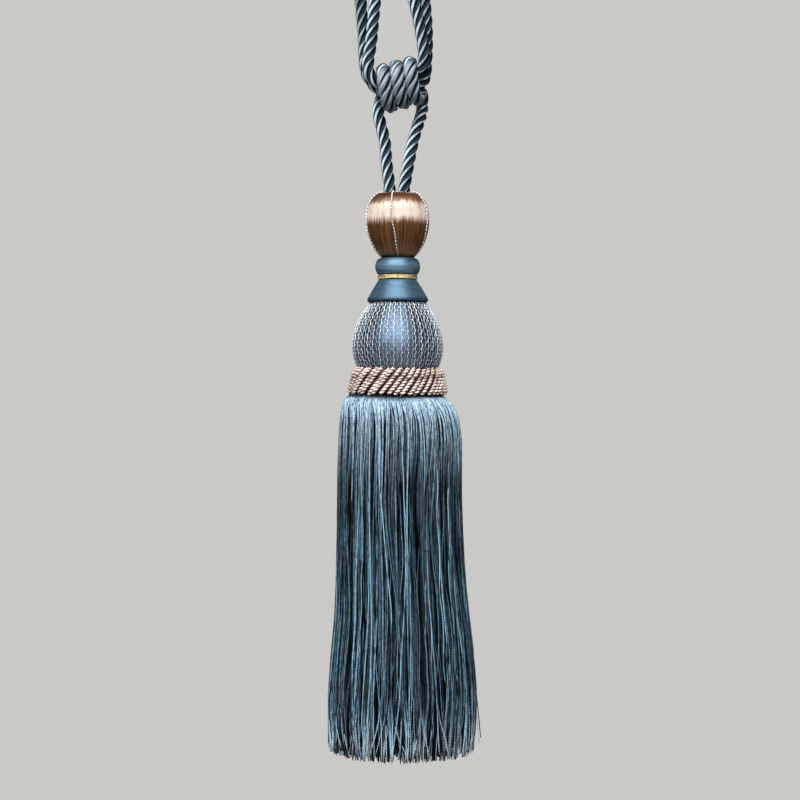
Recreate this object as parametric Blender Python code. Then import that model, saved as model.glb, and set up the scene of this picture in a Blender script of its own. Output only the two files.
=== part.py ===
"""A curtain tieback tassel at its real size: two twisted ropes in a slide knot, and the tassel on them.

Units are metres and +Z is up. The tassel's axis is the Z axis. The origin is level with the underside of the
bights that end the two ears of the embrace rope, where a wall hook carries the tieback. The front faces -Y.

The pieces, from the top down, are the embrace rope, the tassel's own rope with its three wraps, the top
mould wound with thread, the collar with its gold thread, the netted ball, the trim band and the fringe.
"""

import math
import random

import bmesh
import bpy
import numpy as np
from mathutils import Vector

GAP = 0.0003  # clearance between neighbouring pieces

# Rope: four strands laid to the right.
ROPE_D = 0.0061  # across the crowns of the strands
ROPE_VALLEY_R = 0.0023  # from the middle to the groove between two strands
ROPE_STRANDS = 4
ROPE_LAY = 0.024  # length of one turn of a strand
ROPE_RING_STEP = 0.0027  # between two rings of the swept surface
ROPE_RING_TURN = math.radians(25)  # the most that the rope bends between two rings
CURVE_SAMPLES = 24  # samples of the curve between two points of a route

# Slide knot: three wraps of the tassel's rope round the two embrace ropes.
WRAP_FIRST = -0.12  # where the wraps begin, in turns from the top of the first one
WRAP_LAST = 2.55  # where they end, behind the bottom of the third one
WRAP_STEPS = 16  # points to one turn
WRAP_R = 0.0066  # from an embrace rope's middle to the wrap's middle
WRAP_PITCH = 0.00665
WRAP_START_X = -0.00725  # the first wrap's top
WRAP_LEAN = 0.0008  # how much further a wrap moves to the right on its way down the front
WRAP_BOW = 0.0010  # how far the front run stays to the left before it leans over
CORE_HALF = 0.00325  # half the distance between the two embrace ropes
CORE_TILT = math.radians(20)  # how far the upper embrace rope leans to the front
CORE_Z = -0.08466  # the height of the knot's middle on the axis
CORE_SLOPE = 0.272  # the knot rises to the right

# Ears: each side's two ropes turn about each other and open into a bight.
BIGHT_R = 0.0124
BIGHT_Z = -0.0093  # the height of the bights' centres
BIGHT_STEPS = 8
EAR_LEFT_X = -0.0149
EAR_RIGHT_X = 0.0098
EAR_TURN = 0.0007  # how far each bight's ends lie off its middle

# The embrace rope's route, in three stretches that meet in the two bights: (x, y, z).
# It starts hidden in the knot and goes out of the knot's left side, up to the left bight's back.
EMBRACE_UPPER_LEFT = [
    (0.0007, -0.0012, -0.0814),
    (-0.0050, -0.0013, -0.0830),
    (-0.0091, -0.0014, -0.0836),
    (-0.0126, -0.0023, -0.0817),
    (-0.0144, -0.0030, -0.0783),
    (-0.0147, -0.0029, -0.0730),
    (-0.0138, -0.0027, -0.0670),
    (-0.0130, -0.0024, -0.0610),
    (-0.0121, -0.0015, -0.0510),
    (-0.0113, 0.0000, -0.0420),
    (-0.0111, 0.0024, -0.0340),
    (-0.0119, 0.0054, -0.0260),
    (-0.0131, 0.0090, -0.0180),
]
# It comes down from the left bight's front, through the knot, and up to the right bight's front.
EMBRACE_LOWER = [
    (-0.0165, -0.0090, -0.0180),
    (-0.0178, -0.0054, -0.0260),
    (-0.0185, -0.0024, -0.0340),
    (-0.0185, 0.0000, -0.0420),
    (-0.0178, 0.0017, -0.0520),
    (-0.0170, 0.0028, -0.0630),
    (-0.0166, 0.0033, -0.0730),
    (-0.0153, 0.0038, -0.0787),
    (-0.0132, 0.0045, -0.0823),
    (-0.0103, 0.0054, -0.0852),
    (-0.0070, 0.0039, -0.0874),
    (-0.0028, 0.0012, -0.0884),
    (0.0012, 0.0012, -0.0874),
    (0.0063, 0.0012, -0.0860),
    (0.0116, 0.0025, -0.0834),
    (0.0138, 0.0043, -0.0792),
    (0.0142, 0.0035, -0.0735),
    (0.0146, 0.0033, -0.0680),
    (0.0147, 0.0031, -0.0620),
    (0.0144, 0.0026, -0.0520),
    (0.0136, 0.0018, -0.0420),
    (0.0138, -0.0008, -0.0330),
    (0.0132, -0.0046, -0.0250),
    (0.0118, -0.0088, -0.0175),
]
# It comes down from the right bight's back, and into the knot, where its end meets its start.
EMBRACE_UPPER_RIGHT = [
    (0.0078, 0.0088, -0.0175),
    (0.0064, 0.0046, -0.0250),
    (0.0064, 0.0008, -0.0330),
    (0.0080, -0.0018, -0.0420),
    (0.0103, -0.0026, -0.0520),
    (0.0121, -0.0031, -0.0620),
    (0.0130, -0.0033, -0.0690),
    (0.0129, -0.0031, -0.0735),
    (0.0112, -0.0024, -0.0781),
    (0.0060, -0.0011, -0.0799),
    (0.0013, -0.0014, -0.0813),
]

# The tassel rope's route outside its wraps: up the left leg to the first wrap, and down the right leg.
LEG_LEFT = [
    (-0.0038, 0.0000, -0.1430),
    (-0.0039, 0.0000, -0.1380),
    (-0.0045, 0.0004, -0.1320),
    (-0.0057, 0.0018, -0.1220),
    (-0.0066, 0.0032, -0.1120),
    (-0.0086, 0.0044, -0.1035),
    (-0.0097, 0.0064, -0.0966),
    (-0.0091, 0.0094, -0.0923),
    (-0.0082, 0.0116, -0.0880),
    (-0.0073, 0.0110, -0.0834),
    (-0.0071, 0.0075, -0.0798),
]
LEG_RIGHT = [
    (0.0115, 0.0080, -0.0873),
    (0.0121, 0.0110, -0.0861),
    (0.0125, 0.0140, -0.0873),
    (0.0126, 0.0152, -0.0904),
    (0.0124, 0.0141, -0.0945),
    (0.0117, 0.0111, -0.0983),
    (0.0104, 0.0080, -0.1025),
    (0.0077, 0.0046, -0.1120),
    (0.0057, 0.0020, -0.1220),
    (0.0039, 0.0005, -0.1320),
    (0.0031, 0.0000, -0.1380),
    (0.0031, 0.0000, -0.1430),
]

# Turned moulds: heights of their ends, and radii.
SEGMENTS = 28
TOP_Z = -0.1388  # the top mould's rim
TOP_RIM_R = 0.0096
TOP_MAX_R = 0.0157
TOP_MAX_Z = -0.1515
TOP_BOTTOM_R = 0.0081
TOP_BOTTOM_Z = -0.17075
TOP_HOLE_R = 0.0074
TOP_HOLE_DEPTH = 0.0054
TOP_ROWS = 5  # rows of the surface above the widest place, and below it

GROOVE_R = 0.0083  # the groove that seats the gold thread
GROOVE_TOP_Z = -0.1794
GROOVE_BOTTOM_Z = -0.1821
# The collar is a torus, the groove, and a flared cone with a small lip: (height, radius).
COLLAR_PROFILE = [
    (TOP_BOTTOM_Z - GAP, 0.0084),
    (-0.1723, 0.0102),
    (-0.1746, 0.0111),
    (-0.1762, 0.0111),
    (-0.1779, 0.0106),
    (GROOVE_TOP_Z, 0.0096),
    (GROOVE_TOP_Z, GROOVE_R),
    (GROOVE_BOTTOM_Z, GROOVE_R),
    (GROOVE_BOTTOM_Z, 0.0097),
    (-0.1911, 0.0149),
    (-0.1917, 0.0152),
    (-0.1931, 0.0147),
]

GOLD_R = 0.0099
GOLD_ROUND = 0.0003  # how much smaller the ring is at its top and bottom edges

# The netted ball narrows more above its widest place than below it: (height, radius).
BALL_PROFILE = [
    (COLLAR_PROFILE[-1][0] - GAP, 0.0141),
    (-0.1968, 0.0163),
    (-0.2001, 0.0183),
    (-0.2035, 0.0200),
    (-0.2068, 0.0213),
    (-0.2101, 0.0222),
    (-0.2140, 0.0228),
    (-0.2178, 0.0227),
    (-0.2215, 0.0219),
    (-0.2250, 0.0206),
    (-0.2275, 0.0193),
]

TRIM_CORDS = 42  # slanted cords round the band
TRIM_SHIFT = 6  # columns that the cords' feet lie to the left of their tops at the front
TRIM_INNER_R = 0.0212
TRIM_MOUTH_R = 0.0202  # at the top, where the band closes in on the ball
TRIM_MOUTH_DEPTH = 0.0010
TRIM_RELIEF = 0.0006  # between a cord's crown and the groove beside it
# The band's outer face: (height, radius at the cords' crowns).
TRIM_PROFILE = [
    (-0.2266, 0.0221),
    (-0.2276, 0.0233),
    (-0.2310, 0.0238),
    (-0.2350, 0.0243),
    (-0.2382, 0.0247),
    (-0.2391, 0.0238),
]

# Fringe: the head that carries the roots, and rings of locks.
HEAD_TOP_Z = BALL_PROFILE[-1][0] - GAP
HEAD_R = 0.0208
HEAD_FLANGE_Z = TRIM_PROFILE[-1][0] - GAP
HEAD_FLANGE_R = 0.0238
ROOT_Z = -0.2400
ROOT_STEP = 0.0003  # below the head, where a lock has drawn in to its root's width
HEAD_EDGE = 1.01  # the head's underside reaches this far, as a share of the skirt's radius there
HEAD_MIDDLE = 0.13  # no lock grows within this share of it
LOCK_COLUMNS = 44
LOCK_SHARE = 0.84  # of its column's width that a lock fills
SKIRT_TIP_Z = -0.4168
TIP_SHARE = 0.60  # a tip's width against its lock's
TIP_RAGGED = 0.0018  # how unevenly the tips are cut
FRINGE_SEED = 11
# The skirt's outline: (height, radius, drift of its middle to the right).
SKIRT_PROFILE = [
    (ROOT_Z, 0.0250, -0.0014),
    (-0.2420, 0.0266, -0.0010),
    (-0.2470, 0.0288, 0.0002),
    (-0.2520, 0.0299, 0.0009),
    (-0.2620, 0.0308, 0.0012),
    (-0.2900, 0.0311, 0.0009),
    (-0.3220, 0.0318, 0.0013),
    (-0.3500, 0.0337, 0.0021),
    (-0.3780, 0.0368, 0.0024),
    (-0.3920, 0.0375, 0.0023),
    (SKIRT_TIP_Z, 0.0359, 0.0020),
]
# The locks' wander, as sine waves round the skirt, in radians: (waves, twist down the skirt, size).
SWAY = [(3, 2.1, 0.018), (5, -3.0, 0.012)]
# Rings of locks, as shares of the skirt's radius, with the heights where each lock has a section.
LOCK_RINGS = [
    (1.00, 0.76, (-0.2420, -0.2470, -0.2560, -0.3220, -0.3880)),
    (0.70, 0.46, (-0.2560, -0.3880)),
    (0.40, 0.16, (-0.3500,)),
]
# The lock in the skirt's middle: (height, half its width from corner to corner).
CORE_SECTIONS = [
    (ROOT_Z - ROOT_STEP, 0.0028),
    (-0.3500, 0.0044),
    (SKIRT_TIP_Z, 0.0060),
]


def clear_scene():
    """Removes whatever the file opened with."""
    for obj in list(bpy.data.objects):
        bpy.data.objects.remove(obj, do_unlink=True)


def make_material(name, colour, roughness, metallic=0.0):
    """A Principled material with one colour."""
    material = bpy.data.materials.new(name)
    material.use_nodes = True
    shader = material.node_tree.nodes["Principled BSDF"]
    shader.inputs["Base Color"].default_value = (*colour, 1.0)
    shader.inputs["Roughness"].default_value = roughness
    shader.inputs["Metallic"].default_value = metallic
    return material


def add_object(name, bm, material, smooth=True):
    """Turns a finished bmesh into a named object with its material."""
    bmesh.ops.recalc_face_normals(bm, faces=bm.faces)
    mesh = bpy.data.meshes.new(name)
    bm.to_mesh(mesh)
    bm.free()
    if smooth:
        mesh.shade_smooth()
        mesh.set_sharp_from_angle(angle=math.radians(40))
    mesh.materials.append(material)
    obj = bpy.data.objects.new(name, mesh)
    bpy.context.scene.collection.objects.link(obj)
    return obj


def smooth_curve(points, step, turn):
    """Points on the natural cubic spline through the route's points, and the curve's direction at each.

    They lie about step apart, and closer where the curve would turn by more than turn between two of them."""
    knots = np.array(points)
    along = np.concatenate([[0], np.cumsum(np.linalg.norm(np.diff(knots, axis=0), axis=1))])
    span = np.diff(along)
    count = len(knots)
    matrix = np.eye(count)
    right = np.zeros((count, 3))
    for i in range(1, count - 1):
        matrix[i, i - 1 : i + 2] = (span[i - 1], 2 * (span[i - 1] + span[i]), span[i])
        right[i] = 6 * ((knots[i + 1] - knots[i]) / span[i] - (knots[i] - knots[i - 1]) / span[i - 1])
    bend = np.linalg.solve(matrix, right)
    fine = []
    for i in range(count - 1):
        t = np.linspace(0, span[i], CURVE_SAMPLES, endpoint=i == count - 2)[:, None]
        left = span[i] - t
        fine.append(
            (bend[i] * left**3 + bend[i + 1] * t**3) / (6 * span[i])
            + (knots[i] / span[i] - bend[i] * span[i] / 6) * left
            + (knots[i + 1] / span[i] - bend[i + 1] * span[i] / 6) * t
        )
    fine = np.concatenate(fine)
    chords = np.linalg.norm(np.diff(fine, axis=0), axis=1)
    ways = np.gradient(fine, np.concatenate([[0], np.cumsum(chords)]), axis=0)
    ways /= np.linalg.norm(ways, axis=1)[:, None]
    turns = np.linalg.norm(np.diff(ways, axis=0), axis=1)
    count_to = np.concatenate([[0], np.cumsum(np.maximum(chords / step, turns / turn))])
    at = np.linspace(0, count_to[-1], round(count_to[-1]) + 1)
    line = np.stack([np.interp(at, count_to, column) for column in fine.T], axis=1)
    along = np.stack([np.interp(at, count_to, column) for column in ways.T], axis=1)
    return line, along / np.linalg.norm(along, axis=1)[:, None]


def wrap_point(turn):
    """The middle of the wrapping rope, so many turns on from the first wrap's top."""
    quarter = math.pi * WRAP_R / 2
    perimeter = 4 * quarter + 4 * CORE_HALF
    along = (turn % 1.0) * perimeter
    if along < quarter:
        angle, up = along / WRAP_R, CORE_HALF
    elif along < quarter + 2 * CORE_HALF:
        angle, up = math.pi / 2, CORE_HALF - (along - quarter)
    elif along < 3 * quarter + 2 * CORE_HALF:
        angle, up = (along - 2 * CORE_HALF) / WRAP_R, -CORE_HALF
    elif along < 3 * quarter + 4 * CORE_HALF:
        angle, up = 3 * math.pi / 2, along - 3 * quarter - 3 * CORE_HALF
    else:
        angle, up = (along - 4 * CORE_HALF) / WRAP_R, CORE_HALF
    rise = up + WRAP_R * math.cos(angle)
    front = WRAP_R * math.sin(angle)
    x = (
        WRAP_START_X
        + WRAP_PITCH * turn
        + WRAP_LEAN * math.sin(math.pi * turn) ** 2
        - WRAP_BOW * math.sin(2 * math.pi * turn)
    )
    y = -rise * math.sin(CORE_TILT) - front * math.cos(CORE_TILT)
    z = CORE_Z + CORE_SLOPE * x + rise * math.cos(CORE_TILT) - front * math.sin(CORE_TILT)
    return x, y, z


def wrap_points():
    """The middle of the rope along the three wraps."""
    steps = round((WRAP_LAST - WRAP_FIRST) * WRAP_STEPS)
    return [wrap_point(WRAP_FIRST + (WRAP_LAST - WRAP_FIRST) * i / steps) for i in range(steps + 1)]


def bight_points(x, turn, start):
    """A half circle over the hook's place. It begins at the back for start 1 and at the front for start -1,
    and its back end lies further to the right by the turn."""
    points = []
    for i in range(BIGHT_STEPS + 1):
        angle = math.pi * i / BIGHT_STEPS
        side = start * math.cos(angle)
        points.append((x + turn * side, BIGHT_R * side, BIGHT_Z + BIGHT_R * math.sin(angle)))
    return points


def embrace_route():
    """The embrace rope's middle: a closed loop, doubled through the knot, whose ends meet hidden in it."""
    left = bight_points(EAR_LEFT_X, EAR_TURN, 1)
    right = bight_points(EAR_RIGHT_X, -EAR_TURN, -1)
    return EMBRACE_UPPER_LEFT + left + EMBRACE_LOWER + right + EMBRACE_UPPER_RIGHT


def tassel_route():
    """The tassel rope's middle: left leg, wraps, right leg."""
    return LEG_LEFT + wrap_points() + LEG_RIGHT


def sideways(along):
    """A direction square to the line at each point, that doesn't turn about it on the way."""
    side = np.cross(along[0], (0.0, 1.0, 0.0))
    sides = []
    for direction in along:
        side = side - direction * side.dot(direction)
        side /= np.linalg.norm(side)
        sides.append(side)
    return np.array(sides)


def make_rope(name, route, material):
    """A rope swept along its route, with its strands raised as ridges that turn with the lay."""
    line, along = smooth_curve(route, ROPE_RING_STEP, ROPE_RING_TURN)
    sides = sideways(along)
    reach = np.concatenate([[0], np.cumsum(np.linalg.norm(np.diff(line, axis=0), axis=1))])
    corners = 2 * ROPE_STRANDS
    radii = [ROPE_D / 2 if k % 2 == 0 else ROPE_VALLEY_R for k in range(corners)]
    bm = bmesh.new()
    rings = []
    for i, point in enumerate(line):
        across = np.cross(along[i], sides[i])
        turned = 2 * math.pi * reach[i] / ROPE_LAY
        ring = []
        for k, radius in enumerate(radii):
            angle = 2 * math.pi * k / corners + turned
            place = point + radius * (math.cos(angle) * sides[i] + math.sin(angle) * across)
            ring.append(bm.verts.new(place))
        rings.append(ring)
    for lower, upper in zip(rings, rings[1:]):
        for k in range(corners):
            nxt = (k + 1) % corners
            bm.faces.new((lower[k], lower[nxt], upper[nxt]))
            bm.faces.new((lower[k], upper[nxt], upper[k]))
    bm.faces.new(rings[0])
    bm.faces.new(rings[-1])
    return add_object(name, bm, material)


def make_turned(name, profile, material, segments=SEGMENTS):
    """A solid turned from a closed profile of (radius, height), from the axis round to the axis again, or a
    ring where the profile doesn't reach the axis."""
    bm = bmesh.new()
    rings = []
    for radius, height in profile:
        if radius == 0:
            rings.append([bm.verts.new((0, 0, height))])
            continue
        angles = [2 * math.pi * i / segments for i in range(segments)]
        rings.append([bm.verts.new((radius * math.cos(a), radius * math.sin(a), height)) for a in angles])
    pairs = list(zip(rings, rings[1:]))
    if profile[0][0] > 0:
        pairs.append((rings[-1], rings[0]))
    for first, second in pairs:
        for i in range(segments):
            j = (i + 1) % segments
            corners = [first[i % len(first)], first[j % len(first)]]
            corners += [second[j % len(second)], second[i % len(second)]]
            bm.faces.new(list(dict.fromkeys(corners)))
    return add_object(name, bm, material)


def arc_rows(radius, half_height, middle, start, end, rows):
    """(radius, height) along an ellipse about the axis, from the height start to the height end."""
    points = []
    for i in range(rows + 1):
        z = start + (end - start) * i / rows
        points.append((radius * math.sqrt(1 - ((z - middle) / half_height) ** 2), z))
    return points


def top_mould_profile():
    """The top mould, from the floor of its rope hole, over the rim and down its side."""
    top_share = TOP_RIM_R / TOP_MAX_R
    bottom_share = TOP_BOTTOM_R / TOP_MAX_R
    upper_half = (TOP_Z - TOP_MAX_Z) / math.sqrt(1 - top_share**2)
    lower_half = (TOP_MAX_Z - TOP_BOTTOM_Z) / math.sqrt(1 - bottom_share**2)
    upper = arc_rows(TOP_MAX_R, upper_half, TOP_MAX_Z, TOP_Z, TOP_MAX_Z, TOP_ROWS)
    lower = arc_rows(TOP_MAX_R, lower_half, TOP_MAX_Z, TOP_MAX_Z, TOP_BOTTOM_Z, TOP_ROWS)
    floor_z = TOP_Z - TOP_HOLE_DEPTH
    hole = [(0, floor_z), (TOP_HOLE_R, floor_z), (TOP_HOLE_R, TOP_Z)]
    return hole + upper + lower[1:] + [(0, TOP_BOTTOM_Z)]


def closed_profile(table):
    """A table of heights and radii as a profile that is closed flat above and below."""
    rows = [(radius, height) for height, radius in table]
    return [(0, rows[0][1])] + rows + [(0, rows[-1][1])]


def gold_profile():
    """The gold thread's ring, seated in the groove."""
    top = GROOVE_TOP_Z - GAP
    bottom = GROOVE_BOTTOM_Z + GAP
    inner = GROOVE_R + GAP
    edge = GOLD_R - GOLD_ROUND
    return [(inner, top), (edge, top), (GOLD_R, (top + bottom) / 2), (edge, bottom), (inner, bottom)]


def add_trim_ring(bm, radius, height, relief=0.0, shift=0.0):
    """A ring of points, two to a cord. The second one is sunk by the relief, and all turn by the shift."""
    columns = 2 * TRIM_CORDS
    ring = []
    for i in range(columns):
        angle = 2 * math.pi * (i - shift) / columns
        reach = radius - relief * (i % 2)
        ring.append(bm.verts.new((reach * math.cos(angle), reach * math.sin(angle), height)))
    return ring


def make_trim_band(material):
    """The braid: a ring whose outer face rises and falls with the slanted cords."""
    top, bottom = TRIM_PROFILE[0][0], TRIM_PROFILE[-1][0]
    bm = bmesh.new()
    rings = [add_trim_ring(bm, TRIM_MOUTH_R, top)]
    for height, radius in TRIM_PROFILE:
        shift = TRIM_SHIFT * (top - height) / (top - bottom)
        rings.append(add_trim_ring(bm, radius, height, TRIM_RELIEF, shift))
    rings.append(add_trim_ring(bm, TRIM_INNER_R, bottom, shift=TRIM_SHIFT))
    upper = add_trim_ring(bm, TRIM_INNER_R, top - TRIM_MOUTH_DEPTH)
    rings.append(upper[-TRIM_SHIFT:] + upper[:-TRIM_SHIFT])
    rings.append(rings[0][-TRIM_SHIFT:] + rings[0][:-TRIM_SHIFT])
    for first, second in zip(rings, rings[1:]):
        for i in range(len(first)):
            j = (i + 1) % len(first)
            bm.faces.new((first[i], first[j], second[j], second[i]))
    return add_object("trim_band", bm, material)


def skirt_at(height):
    """(radius, drift) of the skirt's outline at a height."""
    heights = [-row[0] for row in SKIRT_PROFILE]
    radius = float(np.interp(-height, heights, [row[1] for row in SKIRT_PROFILE]))
    return radius, float(np.interp(-height, heights, [row[2] for row in SKIRT_PROFILE]))


def sway(angle, height):
    """How far a lock has turned about the axis at a height: a slow wander that its neighbours share."""
    depth = (ROOT_Z - height) / (ROOT_Z - SKIRT_TIP_Z)
    return depth * sum(size * math.sin(waves * angle + twist * depth) for waves, twist, size in SWAY)


def lock_section(angle, width, outer, inner, height, share):
    """The four corners of a lock at a height: share is how much of its full width it has there."""
    radius, drift = skirt_at(height)
    back = outer - (outer - inner) * share
    turned = angle + sway(angle, height)
    corners = []
    for side, part in ((-1, back), (1, back), (1, outer), (-1, outer)):
        a = turned + side * width / 2 * share
        corners.append(Vector((drift + radius * part * math.cos(a), radius * part * math.sin(a), height)))
    return corners


def add_ring(bm, radius, height, drift=0.0):
    """A ring of points, one at each border between two columns of locks."""
    ring = []
    for i in range(LOCK_COLUMNS):
        a = 2 * math.pi * (i - 0.5) / LOCK_COLUMNS
        ring.append(bm.verts.new((drift + radius * math.cos(a), radius * math.sin(a), height)))
    return ring


def add_belt(bm, first, second):
    """The faces between two rings of points."""
    for i in range(LOCK_COLUMNS):
        j = (i + 1) % LOCK_COLUMNS
        bm.faces.new((first[i], first[j], second[j], second[i]))


def add_lock(bm, patch, column, ring, rng):
    """A lock that grows down out of a patch of the head's underside, with the patch's own face taken away."""
    outer, inner, heights = ring
    angle = 2 * math.pi * column / LOCK_COLUMNS
    width = 2 * math.pi / LOCK_COLUMNS * LOCK_SHARE
    tip_z = SKIRT_TIP_Z + rng.uniform(0, TIP_RAGGED)
    sections = [(ROOT_Z - ROOT_STEP, LOCK_SHARE)] + [(h, 1.0) for h in heights] + [(tip_z, TIP_SHARE)]
    previous = patch
    for height, share in sections:
        corners = [bm.verts.new(c) for c in lock_section(angle, width, outer, inner, height, share)]
        for k in range(4):
            n = (k + 1) % 4
            bm.faces.new((previous[k], previous[n], corners[n], corners[k]))
        previous = corners
    bm.faces.new(previous)


def add_core_lock(bm, rim):
    """The four-sided lock that grows down out of the rim in the middle of the head's underside."""
    quarter = LOCK_COLUMNS // 4
    sections = []
    for height, reach in CORE_SECTIONS:
        drift = skirt_at(height)[1]
        section = []
        for k in range(4):
            a = 2 * math.pi * ((k + 0.5) * quarter - 0.5) / LOCK_COLUMNS
            section.append(bm.verts.new((drift + reach * math.cos(a), reach * math.sin(a), height)))
        sections.append(section)
    root = sections[0]
    for i in range(LOCK_COLUMNS):
        bm.faces.new((rim[i], rim[(i + 1) % LOCK_COLUMNS], root[i // quarter]))
    for k in range(4):
        n = (k + 1) % 4
        bm.faces.new((rim[n * quarter], root[n], root[k]))
        for upper, lower in zip(sections, sections[1:]):
            bm.faces.new((upper[k], upper[n], lower[n], lower[k]))
    bm.faces.new(sections[-1])


def make_fringe(material):
    """The fringe: a head whose underside is a grid of patches, with one lock growing out of each of them, and
    one more out of its middle."""
    rng = random.Random(FRINGE_SEED)
    bm = bmesh.new()
    root_r, root_drift = SKIRT_PROFILE[0][1:]
    top = add_ring(bm, HEAD_R, HEAD_TOP_Z)
    neck = add_ring(bm, HEAD_R, HEAD_FLANGE_Z)
    flange = add_ring(bm, HEAD_FLANGE_R, HEAD_FLANGE_Z)
    bounds = [HEAD_EDGE] + [(a[1] + b[0]) / 2 for a, b in zip(LOCK_RINGS, LOCK_RINGS[1:])] + [HEAD_MIDDLE]
    under = [add_ring(bm, root_r * share, ROOT_Z, root_drift) for share in bounds]
    for first, second in ((top, neck), (neck, flange), (flange, under[0])):
        add_belt(bm, first, second)
    bm.faces.new(top)
    add_core_lock(bm, under[-1])
    for k, ring in enumerate(LOCK_RINGS):
        for column in range(LOCK_COLUMNS):
            nxt = (column + 1) % LOCK_COLUMNS
            patch = [under[k + 1][column], under[k + 1][nxt], under[k][nxt], under[k][column]]
            add_lock(bm, patch, column, ring, rng)
    return add_object("fringe_skirt", bm, material, smooth=False)


def main():
    """Builds every piece."""
    clear_scene()
    rope = make_material("rope_satin", (0.045, 0.105, 0.135), 0.35)
    gold_silk = make_material("gold_bronze_thread", (0.42, 0.25, 0.13), 0.35)
    collar_silk = make_material("blue_grey_thread", (0.12, 0.22, 0.32), 0.4)
    gold = make_material("gold_thread", (0.72, 0.50, 0.13), 0.3, 0.6)
    net = make_material("netted_thread", (0.27, 0.38, 0.52), 0.5)
    trim = make_material("beige_cord", (0.62, 0.42, 0.31), 0.45)
    fringe = make_material("fringe_thread", (0.09, 0.19, 0.26), 0.4)
    make_rope("rope_embrace", embrace_route(), rope)
    make_rope("rope_tassel_loop", tassel_route(), rope)
    make_turned("top_mould", top_mould_profile(), gold_silk)
    make_turned("collar_mould", closed_profile(COLLAR_PROFILE), collar_silk)
    make_turned("gold_thread_ring", gold_profile(), gold)
    make_turned("net_ball", closed_profile(BALL_PROFILE), net)
    make_trim_band(trim)
    make_fringe(fringe)


main()
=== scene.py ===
"""A curtain tieback tassel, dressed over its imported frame.

Two twisted satin ropes in a slide knot carry the tassel: a mould wound with gold-bronze thread, a collar
wound with blue-grey thread, a netted ball, a braid of twisted cords and a long cut fringe. Units are metres,
+Z is up and the front faces -Y. The tassel's axis is the Z axis, and the origin is level with the underside
of the bights that a wall hook carries.
"""

import logging
import math
from dataclasses import dataclass, field
from enum import Enum
from typing import Any

import bpy
import numpy as np
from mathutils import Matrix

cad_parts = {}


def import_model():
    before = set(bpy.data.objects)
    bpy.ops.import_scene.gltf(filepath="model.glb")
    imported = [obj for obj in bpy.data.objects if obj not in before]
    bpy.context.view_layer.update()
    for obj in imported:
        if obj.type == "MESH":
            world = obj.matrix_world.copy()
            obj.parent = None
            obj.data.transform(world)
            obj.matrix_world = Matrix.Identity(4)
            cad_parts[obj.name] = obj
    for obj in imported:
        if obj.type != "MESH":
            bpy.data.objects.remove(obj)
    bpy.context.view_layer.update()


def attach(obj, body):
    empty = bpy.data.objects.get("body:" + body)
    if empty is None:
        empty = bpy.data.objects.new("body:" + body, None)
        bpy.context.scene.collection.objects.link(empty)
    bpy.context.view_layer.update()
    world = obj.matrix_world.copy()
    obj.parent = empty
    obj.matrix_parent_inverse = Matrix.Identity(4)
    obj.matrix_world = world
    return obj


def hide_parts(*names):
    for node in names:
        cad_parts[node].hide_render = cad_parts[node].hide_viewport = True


LOG = logging.getLogger("tieback")

Array = np.ndarray
Colour = tuple[float, float, float, float]

FULL_TURN = 2 * math.pi
RIB_ROUND = 0.98  # how near the section of a rib of thread comes to a half circle
RIB_PROUD = 0.35  # how much the ribs differ in height, as a share of the groove between them
OUT_OF_STEP = 0.618  # turns between the twists of a thread and the next one, so that no two are alike


def linear(code: str) -> Colour:
    """Turns an sRGB hex code into a linear colour.

    Args:
        code: Such as "#5f8199".

    Returns:
        Red, green, blue and full alpha.
    """
    parts = [int(code[i : i + 2], 16) / 255 for i in (1, 3, 5)]
    red, green, blue = (
        part / 12.92 if part <= 0.04045 else ((part + 0.055) / 1.055) ** 2.4 for part in parts
    )
    return red, green, blue, 1.0


def add_node(
    tree: bpy.types.NodeTree, kind: str, values: dict | None = None, **settings: Any
) -> bpy.types.Node:
    """Adds a shader node with its settings, and fills its inputs.

    Args:
        tree: The node tree that it goes into.
        kind: The node's type without its "ShaderNode" beginning.
        values: Input name or number, and the number, colour or other node's output that goes into it.
        settings: The node's own properties.

    Returns:
        The new node.
    """
    node = tree.nodes.new("ShaderNode" + kind)
    for name, value in settings.items():
        setattr(node, name, value)
    for name, value in (values or {}).items():
        if isinstance(value, bpy.types.NodeSocket):
            tree.links.new(value, node.inputs[name])
        else:
            node.inputs[name].default_value = value
    return node


def distances(lines: Array) -> Array:
    """Measures how far along its line each point lies.

    Args:
        lines: Points of shape (..., points, axes).

    Returns:
        Distances of shape (..., points), which start at 0.
    """
    steps = np.linalg.norm(np.diff(lines, axis=-2), axis=-1)
    return np.concatenate([np.zeros_like(steps[..., :1]), np.cumsum(steps, axis=-1)], axis=-1)


def smooth_curve(points: list, step: float) -> Array:
    """Reads a natural cubic spline through a route's points at even steps.

    Args:
        points: The route, at least three points.
        step: The distance between two points of the result.

    Returns:
        The points along the curve.
    """
    knots = np.array(points, float)
    span = np.diff(distances(knots))
    count = len(knots)
    matrix, right = np.eye(count), np.zeros((count, 3))
    for i in range(1, count - 1):
        matrix[i, i - 1 : i + 2] = (span[i - 1], 2 * (span[i - 1] + span[i]), span[i])
        right[i] = 6 * ((knots[i + 1] - knots[i]) / span[i] - (knots[i] - knots[i - 1]) / span[i - 1])
    bend = np.linalg.solve(matrix, right)
    fine = []
    for i in range(count - 1):
        done = np.linspace(0, span[i], 24, endpoint=i == count - 2)[:, None]
        left = span[i] - done
        cubic = (bend[i] * left**3 + bend[i + 1] * done**3) / (6 * span[i])
        start = (knots[i] / span[i] - bend[i] * span[i] / 6) * left
        fine.append(cubic + start + (knots[i + 1] / span[i] - bend[i + 1] * span[i] / 6) * done)
    line = np.concatenate(fine)
    reach = distances(line)
    at = np.linspace(0, reach[-1], round(reach[-1] / step) + 1)
    return np.stack([np.interp(at, reach, column) for column in line.T], axis=1)


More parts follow.
